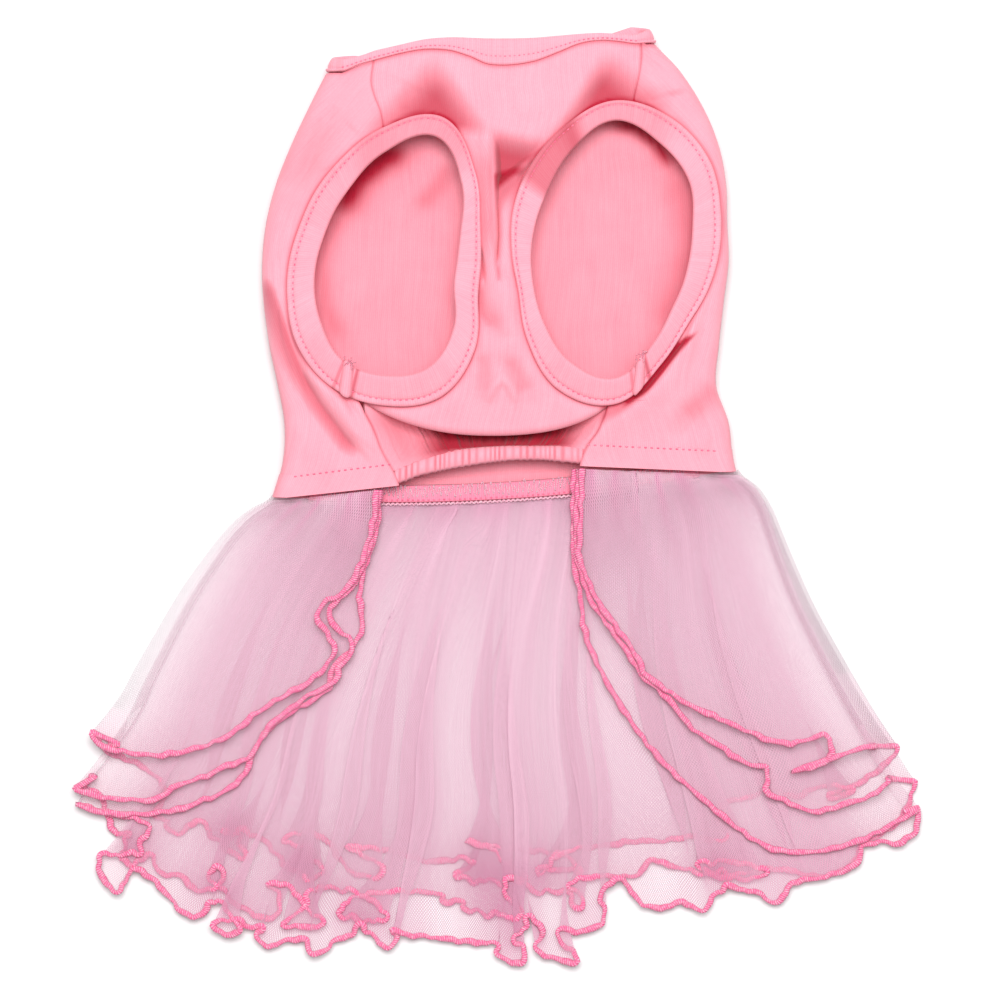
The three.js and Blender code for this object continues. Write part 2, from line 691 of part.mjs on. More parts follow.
// The overlocked seam allowance of the skirt, lying on the inside of the back.
function waistSeam() {
  const hem = bodySection(0, 0, FOLDED_JERSEY);
  const first = BODICE_STEPS.front + BODICE_STEPS.fold;
  const line = hem.slice(first, first + BODICE_STEPS.back + 1);
  const z = FOLDED_JERSEY + SEAM_GAP + JERSEY / 2;
  const pairs = line.map((point, i) => {
    const atEnd = i === 0 || i === line.length - 1;
    const x = point.x - (atEnd ? Math.sign(point.x) * WAIST_SEAM_INSET : 0);
    return [
      new THREE.Vector3(x, point.y + SEAM_GAP, z),
      new THREE.Vector3(x, point.y + WAIST_SEAM_WIDTH, z),
    ];
  });
  return bandFromPairs(pairs, JERSEY, false);
}

// The height of the skirt's belly-side flaps, which sink away from the waist.
function skirtFrontHeight(y) {
  const { tip, waist, fall } = SKIRT_FRONT_HEIGHT;
  return tip + (waist - tip) * Math.exp(Math.min(0, y / fall));
}

// One layer of the skirt, as C sections that grow from the waist to the hem.
function skirtLayer(layer, index) {
  const tableHeight = TULLE / 2 + index * TULLE_PITCH;
  const rows = SKIRT_ROWS.filter((row) => row <= layer.reach);
  const grid = rows.map((row) => {
    const share = row / layer.reach;
    const ends = { drop: 0 };
    for (const side of ['left', 'right']) {
      const fold = insidePath(SKIRT_SIDES[side], row, index * TULLE_PITCH);
      const edge = alongPath(layer[side], share);
      ends[side] = {
        y: fold[1],
        edgeY: edge[1],
        edge: edge[0],
        fold: fold[0],
        edgeHeight: skirtFrontHeight(edge[1]) - index * TULLE_PITCH,
        height: skirtFrontHeight(fold[1]) - index * TULLE_PITCH,
      };
    }
    const ripple = (x, y, step) => (step % 2) * FLAP_RIPPLE * row;
    const section = cSection(ends, tableHeight, SKIRT_STEPS, ripple);
    shapeSkirtBack(section, row);
    return section;
  });
  return wallFromGrid(grid, TULLE);
}

// Moves the points along the table onto the fan between waist and hem, and
// raises its pleats.
function shapeSkirtBack(section, row) {
  const first = SKIRT_STEPS.front + SKIRT_STEPS.fold;
  const start = section[first].clone();
  const end = section[first + SKIRT_STEPS.back].clone();
  const corner = [alongPath(SKIRT_HEM, 0), alongPath(SKIRT_HEM, 1)];
  SKIRT_FAN.forEach(({ at, lift }, i) => {
    const point = section[first + i];
    const dipAtHem = alongPath(SKIRT_HEM, at)[1] - lerp(corner[0][1], corner[1][1], at);
    const dipAtWaist = -BACK_HEM_DROP * 4 * at * (1 - at);
    point.x = lerp(start.x, end.x, at);
    point.y = lerp(start.y, end.y, at) + lerp(dipAtWaist, dipAtHem, row);
    point.z += lift * row;
  });
}

function piece(name, geometry, finish) {
  const mesh = new THREE.Mesh(geometry, new THREE.MeshStandardMaterial(finish));
  mesh.name = name;
  return mesh;
}

function buildDress() {
  const dress = new THREE.Group();
  dress.add(piece('back_panel', backPanel(), PINK));
  dress.add(piece('waist_hem', waistHem(), PINK));
  dress.add(piece('chest_panel', chestPanel(), PINK));
  dress.add(piece('neck_binding', neckBinding(), PINK));
  dress.add(piece('armhole_binding_left', armholeBinding('left'), PINK));
  dress.add(piece('armhole_binding_right', armholeBinding('right'), PINK));
  dress.add(piece('binding_joint_left', bindingJoint('left'), PINK));
  dress.add(piece('binding_joint_right', bindingJoint('right'), PINK));
  dress.add(piece('elastic_casing', elasticCasing(), PINK));
  dress.add(piece('waist_seam', waistSeam(), DEEP_PINK));
  SKIRT_LAYERS.forEach((layer, index) => {
    dress.add(piece(layer.name, skirtLayer(layer, index), TULLE_PINK));
  });
  dress.position.set(-FOOTPRINT_MIDDLE.x, -FOOTPRINT_MIDDLE.y, 0);
  return dress;
}

export default buildDress();
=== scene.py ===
import math

import bpy
import numpy as np
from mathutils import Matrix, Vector


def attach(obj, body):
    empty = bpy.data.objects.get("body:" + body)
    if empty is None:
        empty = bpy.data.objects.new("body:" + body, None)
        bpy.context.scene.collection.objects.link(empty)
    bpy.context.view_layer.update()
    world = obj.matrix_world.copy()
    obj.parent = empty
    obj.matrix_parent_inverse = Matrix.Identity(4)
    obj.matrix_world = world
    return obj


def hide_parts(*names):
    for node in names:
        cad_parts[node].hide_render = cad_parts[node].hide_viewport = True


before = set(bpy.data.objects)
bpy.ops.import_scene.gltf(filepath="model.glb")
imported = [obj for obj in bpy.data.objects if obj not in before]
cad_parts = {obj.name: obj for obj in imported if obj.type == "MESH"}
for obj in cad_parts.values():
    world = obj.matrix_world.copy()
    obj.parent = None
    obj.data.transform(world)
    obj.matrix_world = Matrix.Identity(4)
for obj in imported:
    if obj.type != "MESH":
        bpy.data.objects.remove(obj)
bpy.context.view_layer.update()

# Every table below is in millimetres, X to the right, Y to the neck and Z up from
# the table, about the middle of the bodice. The part's origin is its footprint's middle.
MM = 0.001
FOOTPRINT_MIDDLE = (0.0, 1.5)

JERSEY = 1.3
HEM_WALL = 1.8
NECK_WALL = 2.6
SEAM_WALL = 2.2
BODY_HALF_WIDTH = 92.0
HEM_DEPTH = 9.0
BACK_HEM_DROP = 5.0
BACK_NECK_DROP = 8.0
TUCK = 1.6
SHARP_ANGLE = 55

# How many steps a section of the bodice has on each side's belly strip, fold and on the back.
BODY_STRIP, BODY_TURN, BODY_BACK = 60, 14, 60
BODY_ROWS = 180
# The side folds' greatest radius as a share of the strip beside them, and how softly the
# cloth's folds end there.
FOLD_SHARE = 0.55
FOLD_EASE = 5

SIDES = {
    "left": {"hem": 0.4, "hem_edge": 5.2, "neck": 169.2, "neck_edge": 174.6},
    "right": {"hem": 10.6, "hem_edge": 13.0, "neck": 180.6, "neck_edge": 182.0},
}

# y, left fold, right fold, height at the sides, extra height along the middle
BODY = np.array([
    (-20, -93.0, 102.0, 9.5, 1.0), (0, -88.2, 98.5, 11.0, 1.5), (15, -84.0, 94.4, 12.0, 2.2),
    (30, -83.4, 92.6, 12.8, 4.0), (45, -86.0, 87.6, 13.4, 6.2), (60, -89.2, 88.6, 13.8, 7.0),
    (80, -91.8, 90.8, 14.0, 7.2), (95, -92.2, 92.6, 14.0, 7.2), (110, -90.6, 92.0, 14.0, 7.0),
    (125, -86.8, 91.6, 13.8, 6.6), (140, -81.0, 88.8, 13.6, 6.0), (155, -74.0, 82.8, 13.2, 5.0),
    (170, -66.4, 73.4, 12.6, 3.8), (185, -58.0, 60.6, 12.0, 3.0),
])

# The armholes: reaches of the binding's edges every 22.5 degrees from +X.
ARMHOLES = {
    "left": {
        "middle": (-44.0, 94.6),
        "outer": (38.6, 41.4, 50.8, 61.4, 53.0, 44.0, 38.8, 36.4,
                  37.8, 41.8, 48.6, 54.6, 57.8, 58.8, 50.8, 40.4),
        "inner": (29.0, 33.0, 43.4, 53.2, 42.8, 32.8, 27.8, 25.8,
                  26.8, 30.0, 35.4, 43.0, 45.8, 46.1, 38.8, 30.0),
        "tilt": (0.4, 0.8, 1.4, 1.6, 1.0, 0.2, -0.4, -0.8,
                 -0.8, -0.4, 0.2, 0.8, 1.2, 1.4, 1.0, 0.6),
    },
    "right": {
        "middle": (47.6, 97.0),
        "outer": (41.4, 45.6, 53.2, 58.8, 61.2, 54.4, 48.4, 44.0,
                  41.0, 41.4, 49.0, 58.4, 59.6, 47.6, 40.4, 39.6),
        "inner": (30.0, 33.6, 41.6, 47.6, 53.2, 44.6, 37.0, 33.8,
                  33.2, 34.8, 39.4, 46.2, 49.2, 38.8, 31.8, 29.6),
        "tilt": (1.8, 1.2, 0.6, 0.4, 0.8, 1.0, 0.6, 0.2,
                 0.0, 0.2, 0.6, 1.0, 1.2, 1.6, 2.4, 2.4),
    },
}

# Bearings of each armhole's outer half, towards the body's side fold.
OUTER_HALVES = {"left": (90, 264), "right": (88, -88)}

SEAMS = {
    "left": {
        "below": [(-37.4, 0), (-38.3, 5), (-40.2, 10), (-43.6, 16), (-46.0, 20.5), (-48.6, 27.5),
                  (-52.6, 35.5), (-54.8, 40.8)],
        "shoulder": [(-44.4, 147), (-45.6, 154), (-48.0, 160.4), (-49.2, 166), (-48.2, 175)],
    },
    "right": {
        "below": [(32.8, 5), (33.6, 11), (34.8, 16), (37.4, 21.5), (40.9, 26.2), (43.0, 30.4),
                  (44.4, 34.6), (45.4, 39)],
        "shoulder": [(55.2, 158.6), (56.4, 164), (57.6, 170), (58.2, 176.5), (57.6, 183)],
    },
}

# x, sewn edge, free edge
NECK = np.array([
    (-60.5, 170.0, 174.8), (-54.0, 172.6, 176.0), (-47.6, 174.4, 178.2), (-38.0, 176.9, 180.4),
    (-28.0, 178.6, 182.6), (-18.0, 178.2, 183.4), (-10.0, 175.8, 183.2), (-3.0, 172.8, 182.9),
    (6.0, 172.4, 182.9), (16.0, 174.0, 183.2), (25.0, 177.4, 184.0), (34.0, 181.0, 184.8),
    (42.0, 182.2, 185.2), (49.0, 181.8, 184.8), (56.0, 180.9, 184.4),
])
NECK_FOLD_BAND = 5.2
NECK_BACK_BAND = 7.0
NECK_PULL, NECK_PULL_SPAN = 6.0, 2.5
NECK_BACK_LIFT = 0.8

# The chest's rows: left and right seam y over the shoulders; then, beside the armholes, the
# bearing and tuck under the left binding, the same under the right, and the Y of the middle.
CHEST_SHOULDER_ROWS = [(174.4, 181.0), (167.0, 173.0), (159.0, 166.0), (147.2, 157.6)]
SHOULDER_ROWS = 3
CHEST_RING_ROWS = [
    (91, 0.4, 82.5, 1.8, 154.0), (85, 3.0, 89, 3.8, 150.6), (79, 6.0, 95, 4.4, 148.0),
    (74, 7.6, 101, 3.4, 145.6), (69, 8.0, 108, 2.4, 142.8), (59, 5.0, 117, 1.8, 139.0),
    (48, 2.2, 127, 1.6, 132.0), (36, 1.6, 139, 1.6, 122.0), (20, 1.6, 155, 1.6, 110.0),
    (3, 1.6, 173, 1.6, 97.5), (-15, 1.6, 191, 1.6, 84.5), (-31, 1.6, 207, 1.6, 72.0),
    (-45, 1.6, 221, 1.6, 60.0), (-57, 1.6, 233, 1.6, 49.5), (-67, 1.6, 242, 1.6, 42.5),
    (-76, 1.6, 250, 1.6, 38.0), (-84, 1.6, 257, 1.6, 34.4), (-92, 1.6, 263, 1.6, 31.4),
    (-99, 1.6, 268, 1.6, 28.5),
]
NECK_TUCK = 1.2
SEAM_TUCK = 1.0
LIP_RADIUS = 2.9
LIP_THINNEST = 0.25
SAG_FLATNESS = (1.9, 2.6)
FOLD_TAPER = 14.0
SEAM_SINK = 0.45
SHOULDER_LAP = 0.7
# Painted shade on the jersey: the amount at which its deep pink is full, its curve, and how much the
# creases by the bindings, seams and neck get.
PAINTED_SHADE_DEPTH = 7.0
PAINTED_SHADE_CURVE = 0.75
CREASE_PAINTED_SHADE = 3.0
TABLE_LAYER, TABLE_EASE = 8.4, 2
# Near the waist hem folds and their painted shade fade out: from which Y, and over how much.
CALM_FROM, CALM_OVER = 4, 16
PALE_FROM, PALE_OVER = 6, 12
RING_SINK = 1.3

# How much, and how far from a seam or a binding, the cloth sinks, is held up and gets painted shade
# along its creases.
RING_SINK_REACH = 2.6
SEAM_SINK_REACH = 0.8
RING_HOLD = 0.75
RING_HOLD_REACH = 3.0
RING_SHADE_REACH = 0.9
SEAM_SHADE_REACH = 0.5
NECK_SHADE_REACH = 1.1
NECK_SINK = 1.1
NECK_SINK_REACH = 1.8
SEAM_EDGE_SINK = 0.5
SEAM_EDGE_REACH = 0.9

CAVITY = 7.0
PLEAT_COUNT = 30
# How the pleats under the lip wander: how much, and how often across the chest.
PLEAT_WANDER = ((2.1, 31), (0.9, 83))
PLEAT_HEIGHT, PLEAT_GROWTH = 0.5, 0.6
PLEAT_SWAY = 0.5
# How the strip under the lip is shaded: rows from the lip, and the shade at each; then X where
# the shade's middle part starts and ends, each with its softness, and its share at the ends.
LIP_SHADE = ((4, 10, 26, 29), (0, 1.0, 1.0, 0.5))
LIP_SHADE_LEFT, LIP_SHADE_LEFT_EASE = -33, 14
LIP_SHADE_RIGHT, LIP_SHADE_RIGHT_EASE = 36, 12
LIP_SHADE_ENDS = 0.3

# x, upper and lower edge of the elastic casing
CASING = np.array([
    (-40.0, 12.0, 5.6), (-30.0, 15.6, 9.0), (-18.0, 19.0, 11.6), (-6.0, 20.4, 13.6),
    (6.0, 21.0, 15.0), (18.0, 21.0, 15.2), (28.0, 21.0, 14.4), (36.0, 20.6, 13.6),
])
CASING_HEIGHT = 11.6
CASING_SHADE = 0.5
GATHER_PITCH = 2.5
GATHER_HEIGHT, GROOVE_DEPTH = 0.6, 1.5
GATHER_SWELL = 0.42
GATHER_SCALLOP = 0.35
# How the casing's gathers wander from their pitch: how much, and over what length.
GATHER_WANDER = ((0.34, 3.1), (0.16, 1.7))

# Hollows of the bodice: corners counterclockwise, how softly each side falls, how far the
# cloth sinks, and as its tone how much shade is painted into its pink there.
HOLLOWS = [
    {"corners": [(-24.0, 179.5), (-55, 146), (0, 144)], "soft": (16, 6, 13), "depth": 4.0,
     "tone": 5.3},
    {"corners": [(43.8, 181.0), (22, 144), (75, 154)], "soft": (10, 6, 16), "depth": 4.2,
     "tone": 5.5},
    {"corners": [(-1.0, 147.5), (0.2, 122.0), (24.5, 142.0)], "soft": (2.6, 3.4, 12.0),
     "depth": 4.0, "tone": 5.4},
    {"corners": [(-0.2, 129), (0.4, 112), (9, 118), (13, 132)], "soft": (1.4, 8, 4, 2.5),
     "depth": 2.0, "tone": 3.4},
    {"corners": [(51.0, 35.8), (60.4, 42.0), (78.0, 64.5), (66.0, 58.0), (53.0, 45.0)],
     "soft": (2.0, 1.5, 2.0, 2.0, 5.0), "depth": 3.4, "tone": 8.4},
    {"corners": [(41.5, 29.0), (52.0, 34.0), (62.0, 46.0), (50.0, 43.0), (41.5, 37.0)],
     "soft": (4.0, 4.0, 3.0, 2.0, 4.0), "depth": 1.2, "tone": 2.6},
]
# Painted shade: how far it spreads out of the hollows, how much sinking folds get beyond a shallow
# depth, and its amount on the back's inner face.
PAINTED_SHADE_SPREAD = 1.2
FOLD_PAINTED_SHADE = 1.9
SHALLOW_FOLD = 1.4
INSIDE_PAINTED_SHADE = 0.6


def fold(rise, left, right, *path):
    """A soft fold: its path, its width on the path's left and right, and how far it rises."""
    return path, (left, right), rise


# The back's inner face is shaded where the belly side lies close over it.
SHADED_INSIDE = [
    fold(-7.0, 5.5, 4.5, (-34, 139.5), (-44, 135.8), (-54, 127.6), (-63, 113)),
    fold(-2.0, 4, 4, (-64, 113), (-70, 93), (-68, 76), (-60, 62)),
    fold(-1.8, 4, 3, (-17, 134), (-24, 124), (-31, 116)),
    fold(-6.0, 3, 3, (46, 149.5), (56, 148), (64, 142), (71, 132)),
    fold(-2.2, 6, 8, (71, 132), (78, 118), (80, 103), (77, 86), (68, 66)),
]
# Painted shade alone on the outer face, with no fold in the cloth: the side of the narrow upright fold
# and the shaded shoulders.
SHADED_OUTSIDE = [
    fold(-1.5, 2.2, 2.6, (-3.2, 138), (-3.4, 118), (-2.6, 98)),
    fold(-0.7, 7, 7, (-80, 122), (-72, 138), (-66, 150)),
    fold(-1.0, 3.4, 3.0, (-5.5, 58), (-4.2, 50), (-4.8, 42)),
    fold(-1.3, 3.4, 3.4, (4.5, 56), (8.8, 49), (12.5, 42)),
    fold(-0.9, 4, 4, (-7, 88), (-3, 76), (1, 66)),
    fold(-1.5, 5, 4, (88, 44.5), (82, 39.2), (75, 33)),
]
# Where a binding's band is shaded: side, first and last bearing, softness and depth.
SHADED_BANDS = [("left", 50, 104, 16, 0.26), ("left", 100, 150, 30, 0.1),
                ("left", 225, 300, 20, 0.07), ("left", 247.6, 249.0, 1.6, 0.45),
                ("left", 255.6, 257.4, 1.6, 0.6), ("right", 106, 141, 9, 0.56),
                ("right", 66, 112, 18, 0.22), ("right", 232, 300, 20, 0.08),
                ("right", 277.0, 278.4, 1.6, 0.45), ("right", 284.6, 286.6, 1.6, 0.6)]

# The back's inner face between the armholes' edges: how far it rises, and its soft folds.
BACK_RISE = 5.2
BACK_LOW, BACK_HIGH, BACK_EASE = 32, 158, 14
BACK_SIDE_EASE = 0.06
BACK_FOLDS = [
    fold(1.5, 4, 7, (-12, 138), (-22, 127), (-32, 116)),
    fold(-0.9, 8, 8, (-72, 100), (-60, 108), (-48, 112)),
    fold(1.0, 3, 3, (47, 133), (54, 138.5), (61, 133)),
    fold(-1.0, 8, 8, (84, 92), (72, 84), (62, 70)),
    fold(-0.8, 10, 10, (-60, 62), (-44, 70), (-28, 66)),
]

# Soft folds of the bodice: how far the cloth rises or sinks, its width on the left and
# right of its path, and the path.
FOLDS = [
    # dimples and ridges between the neck and the armholes
    fold(-1.6, 8, 7, (-34, 166), (-38, 158), (-34, 152)),
    fold(0.8, 4, 3.4, (-17, 170), (-8, 157), (-2, 149)),
    fold(0.8, 4, 4, (37, 168), (31, 158), (26, 150)),
    fold(-1.8, 3.5, 3, (59, 158), (68, 160.5), (78, 163)),
    fold(0.9, 4, 4, (64, 154), (74, 155), (82, 150)),
    fold(-1.5, 6, 5, (-66, 158), (-73, 144), (-79, 126)),
    fold(-1.0, 4, 4, (-56, 148), (-62, 142)),
    fold(0.8, 4, 4, (-69, 138), (-66, 131)),
    # the chest's bulge, the pocket under it and the upright folds between the armholes
    fold(1.2, 5, 4, (0, 146), (8, 145), (17, 141)),
    fold(-1.7, 1.4, 1.4, (9.0, 125.5), (15.5, 134.5)),
    fold(2.2, 2.2, 3.6, (-3.5, 150), (-3.6, 128), (-2.8, 104), (-1.6, 92)),
    fold(-3.6, 1.5, 0.8, (0.9, 118), (1.2, 104), (0.4, 92)),
    fold(-2.6, 0.8, 0.9, (-5.6, 100), (-4.4, 92), (-4.0, 86)),
    fold(-2.2, 1.2, 0.9, (1.0, 92), (1.6, 86)),
    fold(1.0, 2, 2, (5.5, 122), (5.0, 104), (6.0, 88)),
    fold(-1.9, 3, 4, (-8, 84), (-5, 74), (0, 66)),
    fold(1.3, 4, 3, (6, 84), (4, 74), (5, 64)),
    # small creases over the turned edge of the chest
    fold(-1.0, 3.0, 3.0, (-7, 57), (-4.5, 51), (-4, 45)),
    fold(1.5, 2.2, 2.0, (-3.5, 38), (-0.5, 44.5), (2.8, 48), (6.2, 44.5), (9, 38)),
    fold(-1.1, 3.4, 3.0, (0, 55), (7, 52), (11, 46), (13, 40)),
    # the left side: a soft valley whose near edge is a crisp ridge, and small folds by the seam
    fold(0.9, 1.6, 1.6, (-90, 94), (-84.5, 80), (-80, 66), (-77, 56), (-71.5, 46.5), (-64, 36),
         (-56.5, 26), (-49, 16)),
    fold(-3.2, 2.6, 6.0, (-91.5, 90), (-87, 76), (-82.6, 62), (-77.5, 50), (-69.5, 37), (-60.5, 25),
         (-53, 16)),
    fold(1.3, 2.2, 1.6, (-73, 50), (-64, 40.5), (-55, 27), (-47, 19)),
    fold(-1.6, 1.6, 1.6, (-66, 47), (-60, 40.5), (-55, 33)),
    fold(0.6, 5, 7, (-86, 40), (-80, 22), (-70, 8)),
    # the right side: its cloth passes over the binding with a sharp slanting edge
    fold(1.7, 7.0, 1.2, (94.0, 98), (92, 90.5), (88.2, 83.6), (83.4, 76.2), (78.6, 66.9),
         (74.0, 57.4), (68.8, 48.8), (64.0, 43.4), (58.2, 38.4), (51.4, 33.4), (43.6, 28.4)),
    fold(-1.5, 5.5, 5.0, (87, 41), (79, 32), (71, 22)),
    fold(1.2, 3.5, 4, (94, 34), (87, 27), (80, 18)),
]

# Where the hem's frills crowd together: X, Y, reach.
FRILLS = [(-106, -133, 8), (-78, -145, 8), (-112, -157, 7), (-66, -160, 8), (-6, -147, 9),
          (20, -150, 8), (-52, -168, 7), (0, -160, 10), (4, -174, 8), (-146, -140, 7),
          (88, -150, 7)]

# The skirt: its side folds from waist to tip, and each layer's open front edges and hem.
SKIRT_SIDES = {
    "left": [(-88.6, -0.6), (-97, -5), (-105.2, -13), (-113.8, -25), (-123.2, -40),
             (-132, -57), (-138.8, -71), (-144.6, -84), (-154, -98), (-163, -110), (-169.5, -121)],
    "right": [(97.0, 9.4), (103.6, 4.5), (108.4, -3.5), (111.6, -13), (116, -26),
              (122.6, -43), (131.8, -62), (142.8, -83), (152, -99), (158.5, -111), (167, -123)],
}
TULLE_PITCH = 1.6
SKIRT_FRONT = {"tip": 9.2, "waist": 12.4, "fall": 35.0}
SKIRT_LAYERS = [
    {
        "name": "skirt_outer", "reach": 0.8,
        "left": [(-47.2, 3.4), (-48.3, -8), (-50.9, -18), (-54.4, -28), (-60, -37), (-68, -41.5),
                 (-71, -47), (-67.5, -53), (-64, -59), (-66, -65), (-74, -73), (-83, -78),
                 (-88, -81), (-97, -87), (-104, -93), (-114, -98), (-130, -102), (-141, -102),
                 (-152, -100), (-158, -98), (-161, -93)],
        "right": [(34.8, 11.8), (34.0, -12), (33.4, -23), (36, -30), (41, -41), (49, -52),
                  (56, -62), (60, -70), (68, -76), (77, -82), (88, -87), (99, -92), (112, -97),
                  (122, -97), (131, -94), (134, -98), (133, -104), (127, -107), (118, -109)],
        "hem": [(-161, -93), (-155, -101), (-143, -106), (-133, -114), (-133, -121), (-136, -127),
                (-130, -129), (-132, -131), (-126, -134), (-120, -129), (-116, -130),
                (-113, -135), (-103, -143), (-100, -144), (-101, -139), (-104, -134),
                (-109, -133), (-101, -133), (-92, -137), (-86, -144), (-80, -149), (-72, -152),
                (-69, -148), (-73, -144), (-77, -139), (-85, -137), (-80, -134), (-74, -134),
                (-67, -137), (-59, -148), (-52, -151), (-46, -151), (-45, -147), (-52, -143),
                (-59, -139), (-41, -141), (-27, -145), (-14, -144), (-8, -145), (-15, -151),
                (-2, -153), (12, -152), (5, -146), (-3, -139), (-12, -137), (-3, -139),
                (16, -141), (29, -143), (34, -150), (29, -148), (18, -149), (29, -141),
                (42, -139), (57, -137), (67, -137), (79, -135), (90, -137), (93, -133),
                (89, -127), (93, -121), (100, -120), (109, -117), (120, -119), (131, -115),
                (143, -116), (136, -120), (134, -118), (145, -114), (154, -108), (160, -102),
                (161, -99)],
    },
    {
        "name": "skirt_middle", "reach": 0.9,
        "left": [(-46.3, 3.3), (-47.5, -8.5), (-50, -18.5), (-53.4, -28), (-58, -37), (-64, -41),
                 (-66, -47), (-63, -52), (-57, -57), (-57.5, -62), (-62, -67), (-64, -73),
                 (-75, -79), (-83, -85), (-90, -91), (-98, -103), (-108, -107), (-116, -111),
                 (-128, -115), (-135, -120), (-148, -120), (-157, -119), (-168, -116)],
        "right": [(33.2, 11.8), (32.4, -12), (32.6, -24), (35, -31), (39, -42), (47, -53),
                  (54, -63), (59, -71), (65, -76), (71, -82), (78, -91), (90, -99), (101, -106),
                  (108, -107), (109, -112), (108, -117), (117, -121), (127, -125), (139, -122),
                  (149, -119), (157, -113)],
        "hem": [(-168, -116), (-161, -116), (-157, -120), (-155, -127), (-151, -134),
                (-146, -134), (-149, -141), (-145, -147), (-141, -143), (-137, -143),
                (-135, -148), (-131, -151), (-127, -150), (-118, -157), (-113, -155),
                (-114, -151), (-112, -147), (-109, -148), (-109, -155), (-106, -160),
                (-100, -164), (-91, -168), (-86, -164), (-87, -157), (-91, -154), (-85, -154),
                (-80, -157), (-76, -163), (-68, -170), (-77, -171), (-85, -170), (-77, -164),
                (-73, -156), (-63, -156), (-54, -158), (-44, -165), (-46, -169), (-60, -167),
                (-62, -164), (-55, -159), (-41, -157), (-34, -157), (-22, -158), (-21, -161),
                (-13, -161), (-12, -164), (-2, -166), (11, -167), (8, -162), (3, -156),
                (9, -151), (16, -157), (29, -157), (31, -162), (35, -164), (34, -158),
                (29, -154), (40, -151), (55, -151), (60, -147), (63, -144), (68, -146),
                (80, -149), (100, -152), (109, -149), (100, -146), (90, -145), (80, -146),
                (86, -149), (98, -150), (113, -148), (131, -151), (143, -146), (146, -139),
                (154, -134), (162, -128), (166, -120), (168, -113)],
    },
    {
        "name": "skirt_inner", "reach": 1.0,
        "left": [(-45.5, 3.2), (-46.8, -9), (-49.2, -19), (-52.2, -28.5), (-54, -39), (-53, -48),
                 (-54, -55), (-59, -62), (-65, -68), (-66, -75), (-72, -80), (-83, -86),
                 (-92, -94), (-97, -103), (-100, -110), (-108, -117), (-118, -121), (-126, -124),
                 (-142, -126), (-158, -125), (-167, -122)],
        "right": [(31.4, 11.8), (31.2, -12), (32, -28), (34, -39), (36, -54), (43, -70),
                  (51, -84), (60, -97), (71, -109), (83, -120), (96, -131), (109, -139),
                  (119, -141), (128, -141), (138, -139), (149, -135), (160, -129), (169, -124)],
        "hem": [(-167, -122), (-153, -126), (-143, -128), (-138, -131), (-141, -137),
                (-144, -142), (-155, -142), (-158, -143), (-158, -148), (-155, -154),
                (-150, -157), (-147, -151), (-144, -148), (-138, -151), (-132, -157),
                (-126, -164), (-121, -167), (-116, -165), (-112, -160), (-109, -162),
                (-102, -172), (-107, -174), (-113, -170), (-103, -168), (-99, -171),
                (-93, -171), (-95, -175), (-91, -179), (-85, -177), (-76, -176), (-74, -181),
                (-68, -181), (-65, -177), (-59, -175), (-54, -171), (-49, -174), (-46, -178),
                (-42, -179), (-39, -176), (-41, -172), (-36, -174), (-27, -175), (-11, -177),
                (0, -178), (2, -183), (6, -185), (11, -185), (12, -181), (8, -176), (12, -171),
                (13, -167), (16, -168), (19, -174), (16, -180), (25, -184), (33, -185),
                (31, -181), (27, -178), (25, -172), (34, -173), (42, -170), (44, -165),
                (42, -160), (45, -154), (51, -152), (55, -158), (61, -163), (69, -163),
                (75, -161), (80, -164), (84, -164), (88, -158), (93, -155), (102, -157),
                (107, -158), (109, -161), (113, -161), (117, -156), (120, -153), (132, -151),
                (144, -146), (147, -139), (155, -137), (160, -138), (167, -134), (169, -128),
                (169, -123)],
    },
]

# Where the tulle is doubled back on itself: the middle of the fold along the hem and its width.
PLEATS = [(-122, 8), (-90, 9), (-52, 10), (-4, 10), (30, 8), (72, 9), (112, 8)]

# Gathers of the open flaps: where each starts along the waist, from the open edge to the
# side fold, half its width and how deep it is.
FLAP_GATHERS = {
    "left": [(0.1, 0.05, 0.7), (0.24, 0.05, 0.8), (0.36, 0.02, 0.5), (0.6, 0.014, 1.0),
             (0.75, 0.016, 0.9), (0.86, 0.014, 0.4)],
    "right": [(0.06, 0.04, 0.9), (0.22, 0.03, 0.8), (0.31, 0.012, 0.9), (0.48, 0.014, 1.0),
              (0.61, 0.03, 0.8), (0.74, 0.012, 0.4), (0.87, 0.02, 0.8)],
}
# How much painted shade deepens the net's pink, and how much closer the net lies, in the flaps'
# gathers, at the waist's gathers, where the frills crowd together and along the hem.
FLAP_PAINTED_SHADE = 0.9
FLAP_CROWD = 3.0
WAIST_PAINTED_SHADE = 0.34
GATHER_TONE = 1.3
FRILL_PAINTED_SHADE = 0.36
FRILL_CROWD = 0.4
HEM_PAINTED_SHADE = 0.42
HEM_CROWD = 0.6
SIDE_FADE = 32.0
BAND_SOFTNESS = 4.0
FRILL_SPREAD = 1.2
# Runs are shares of the way from the waist to the hem over which a thing fades.
FLAP_FADES = ((0.35, 0.3), (0.65, 0.08))
FLAP_WIDENING = 9
FLAP_NET, FLAP_WAIST_NET, FLAP_WAIST_RUN = 0.2, 1.1, 0.13
FLAP_PLAIN_NET = 0.9
FLAP_SIDE_NET = 0.45
WAIST_SHADE_RUN = 0.09
GATHER_MEAN, GATHER_MEAN_RUN = 0.25, 0.12
NET_CROWDING = (1.2, 3.4)
NET_CROWD_CURVE = 0.7
CLOSEST_COLUMNS = 0.12
SIDE_NET = 0.3
NET_UPTURN = 1.6

# Bands of closer and opener net from waist to hem: both edges along the hem, and how much.
NET_BANDS = [(-150, -138, 0.3), (-128, -112, 0.3), (-101, -89, 0.3), (-66, -56, 0.25),
             (-50, -27, 0.4), (-24, -10, -0.2), (1, 21, 0.55), (30, 42, 0.35), (48, 74, -0.2),
             (84, 99, 0.35), (109, 121, 0.35), (132, 146, 0.4), (98, 168, 0.7)]

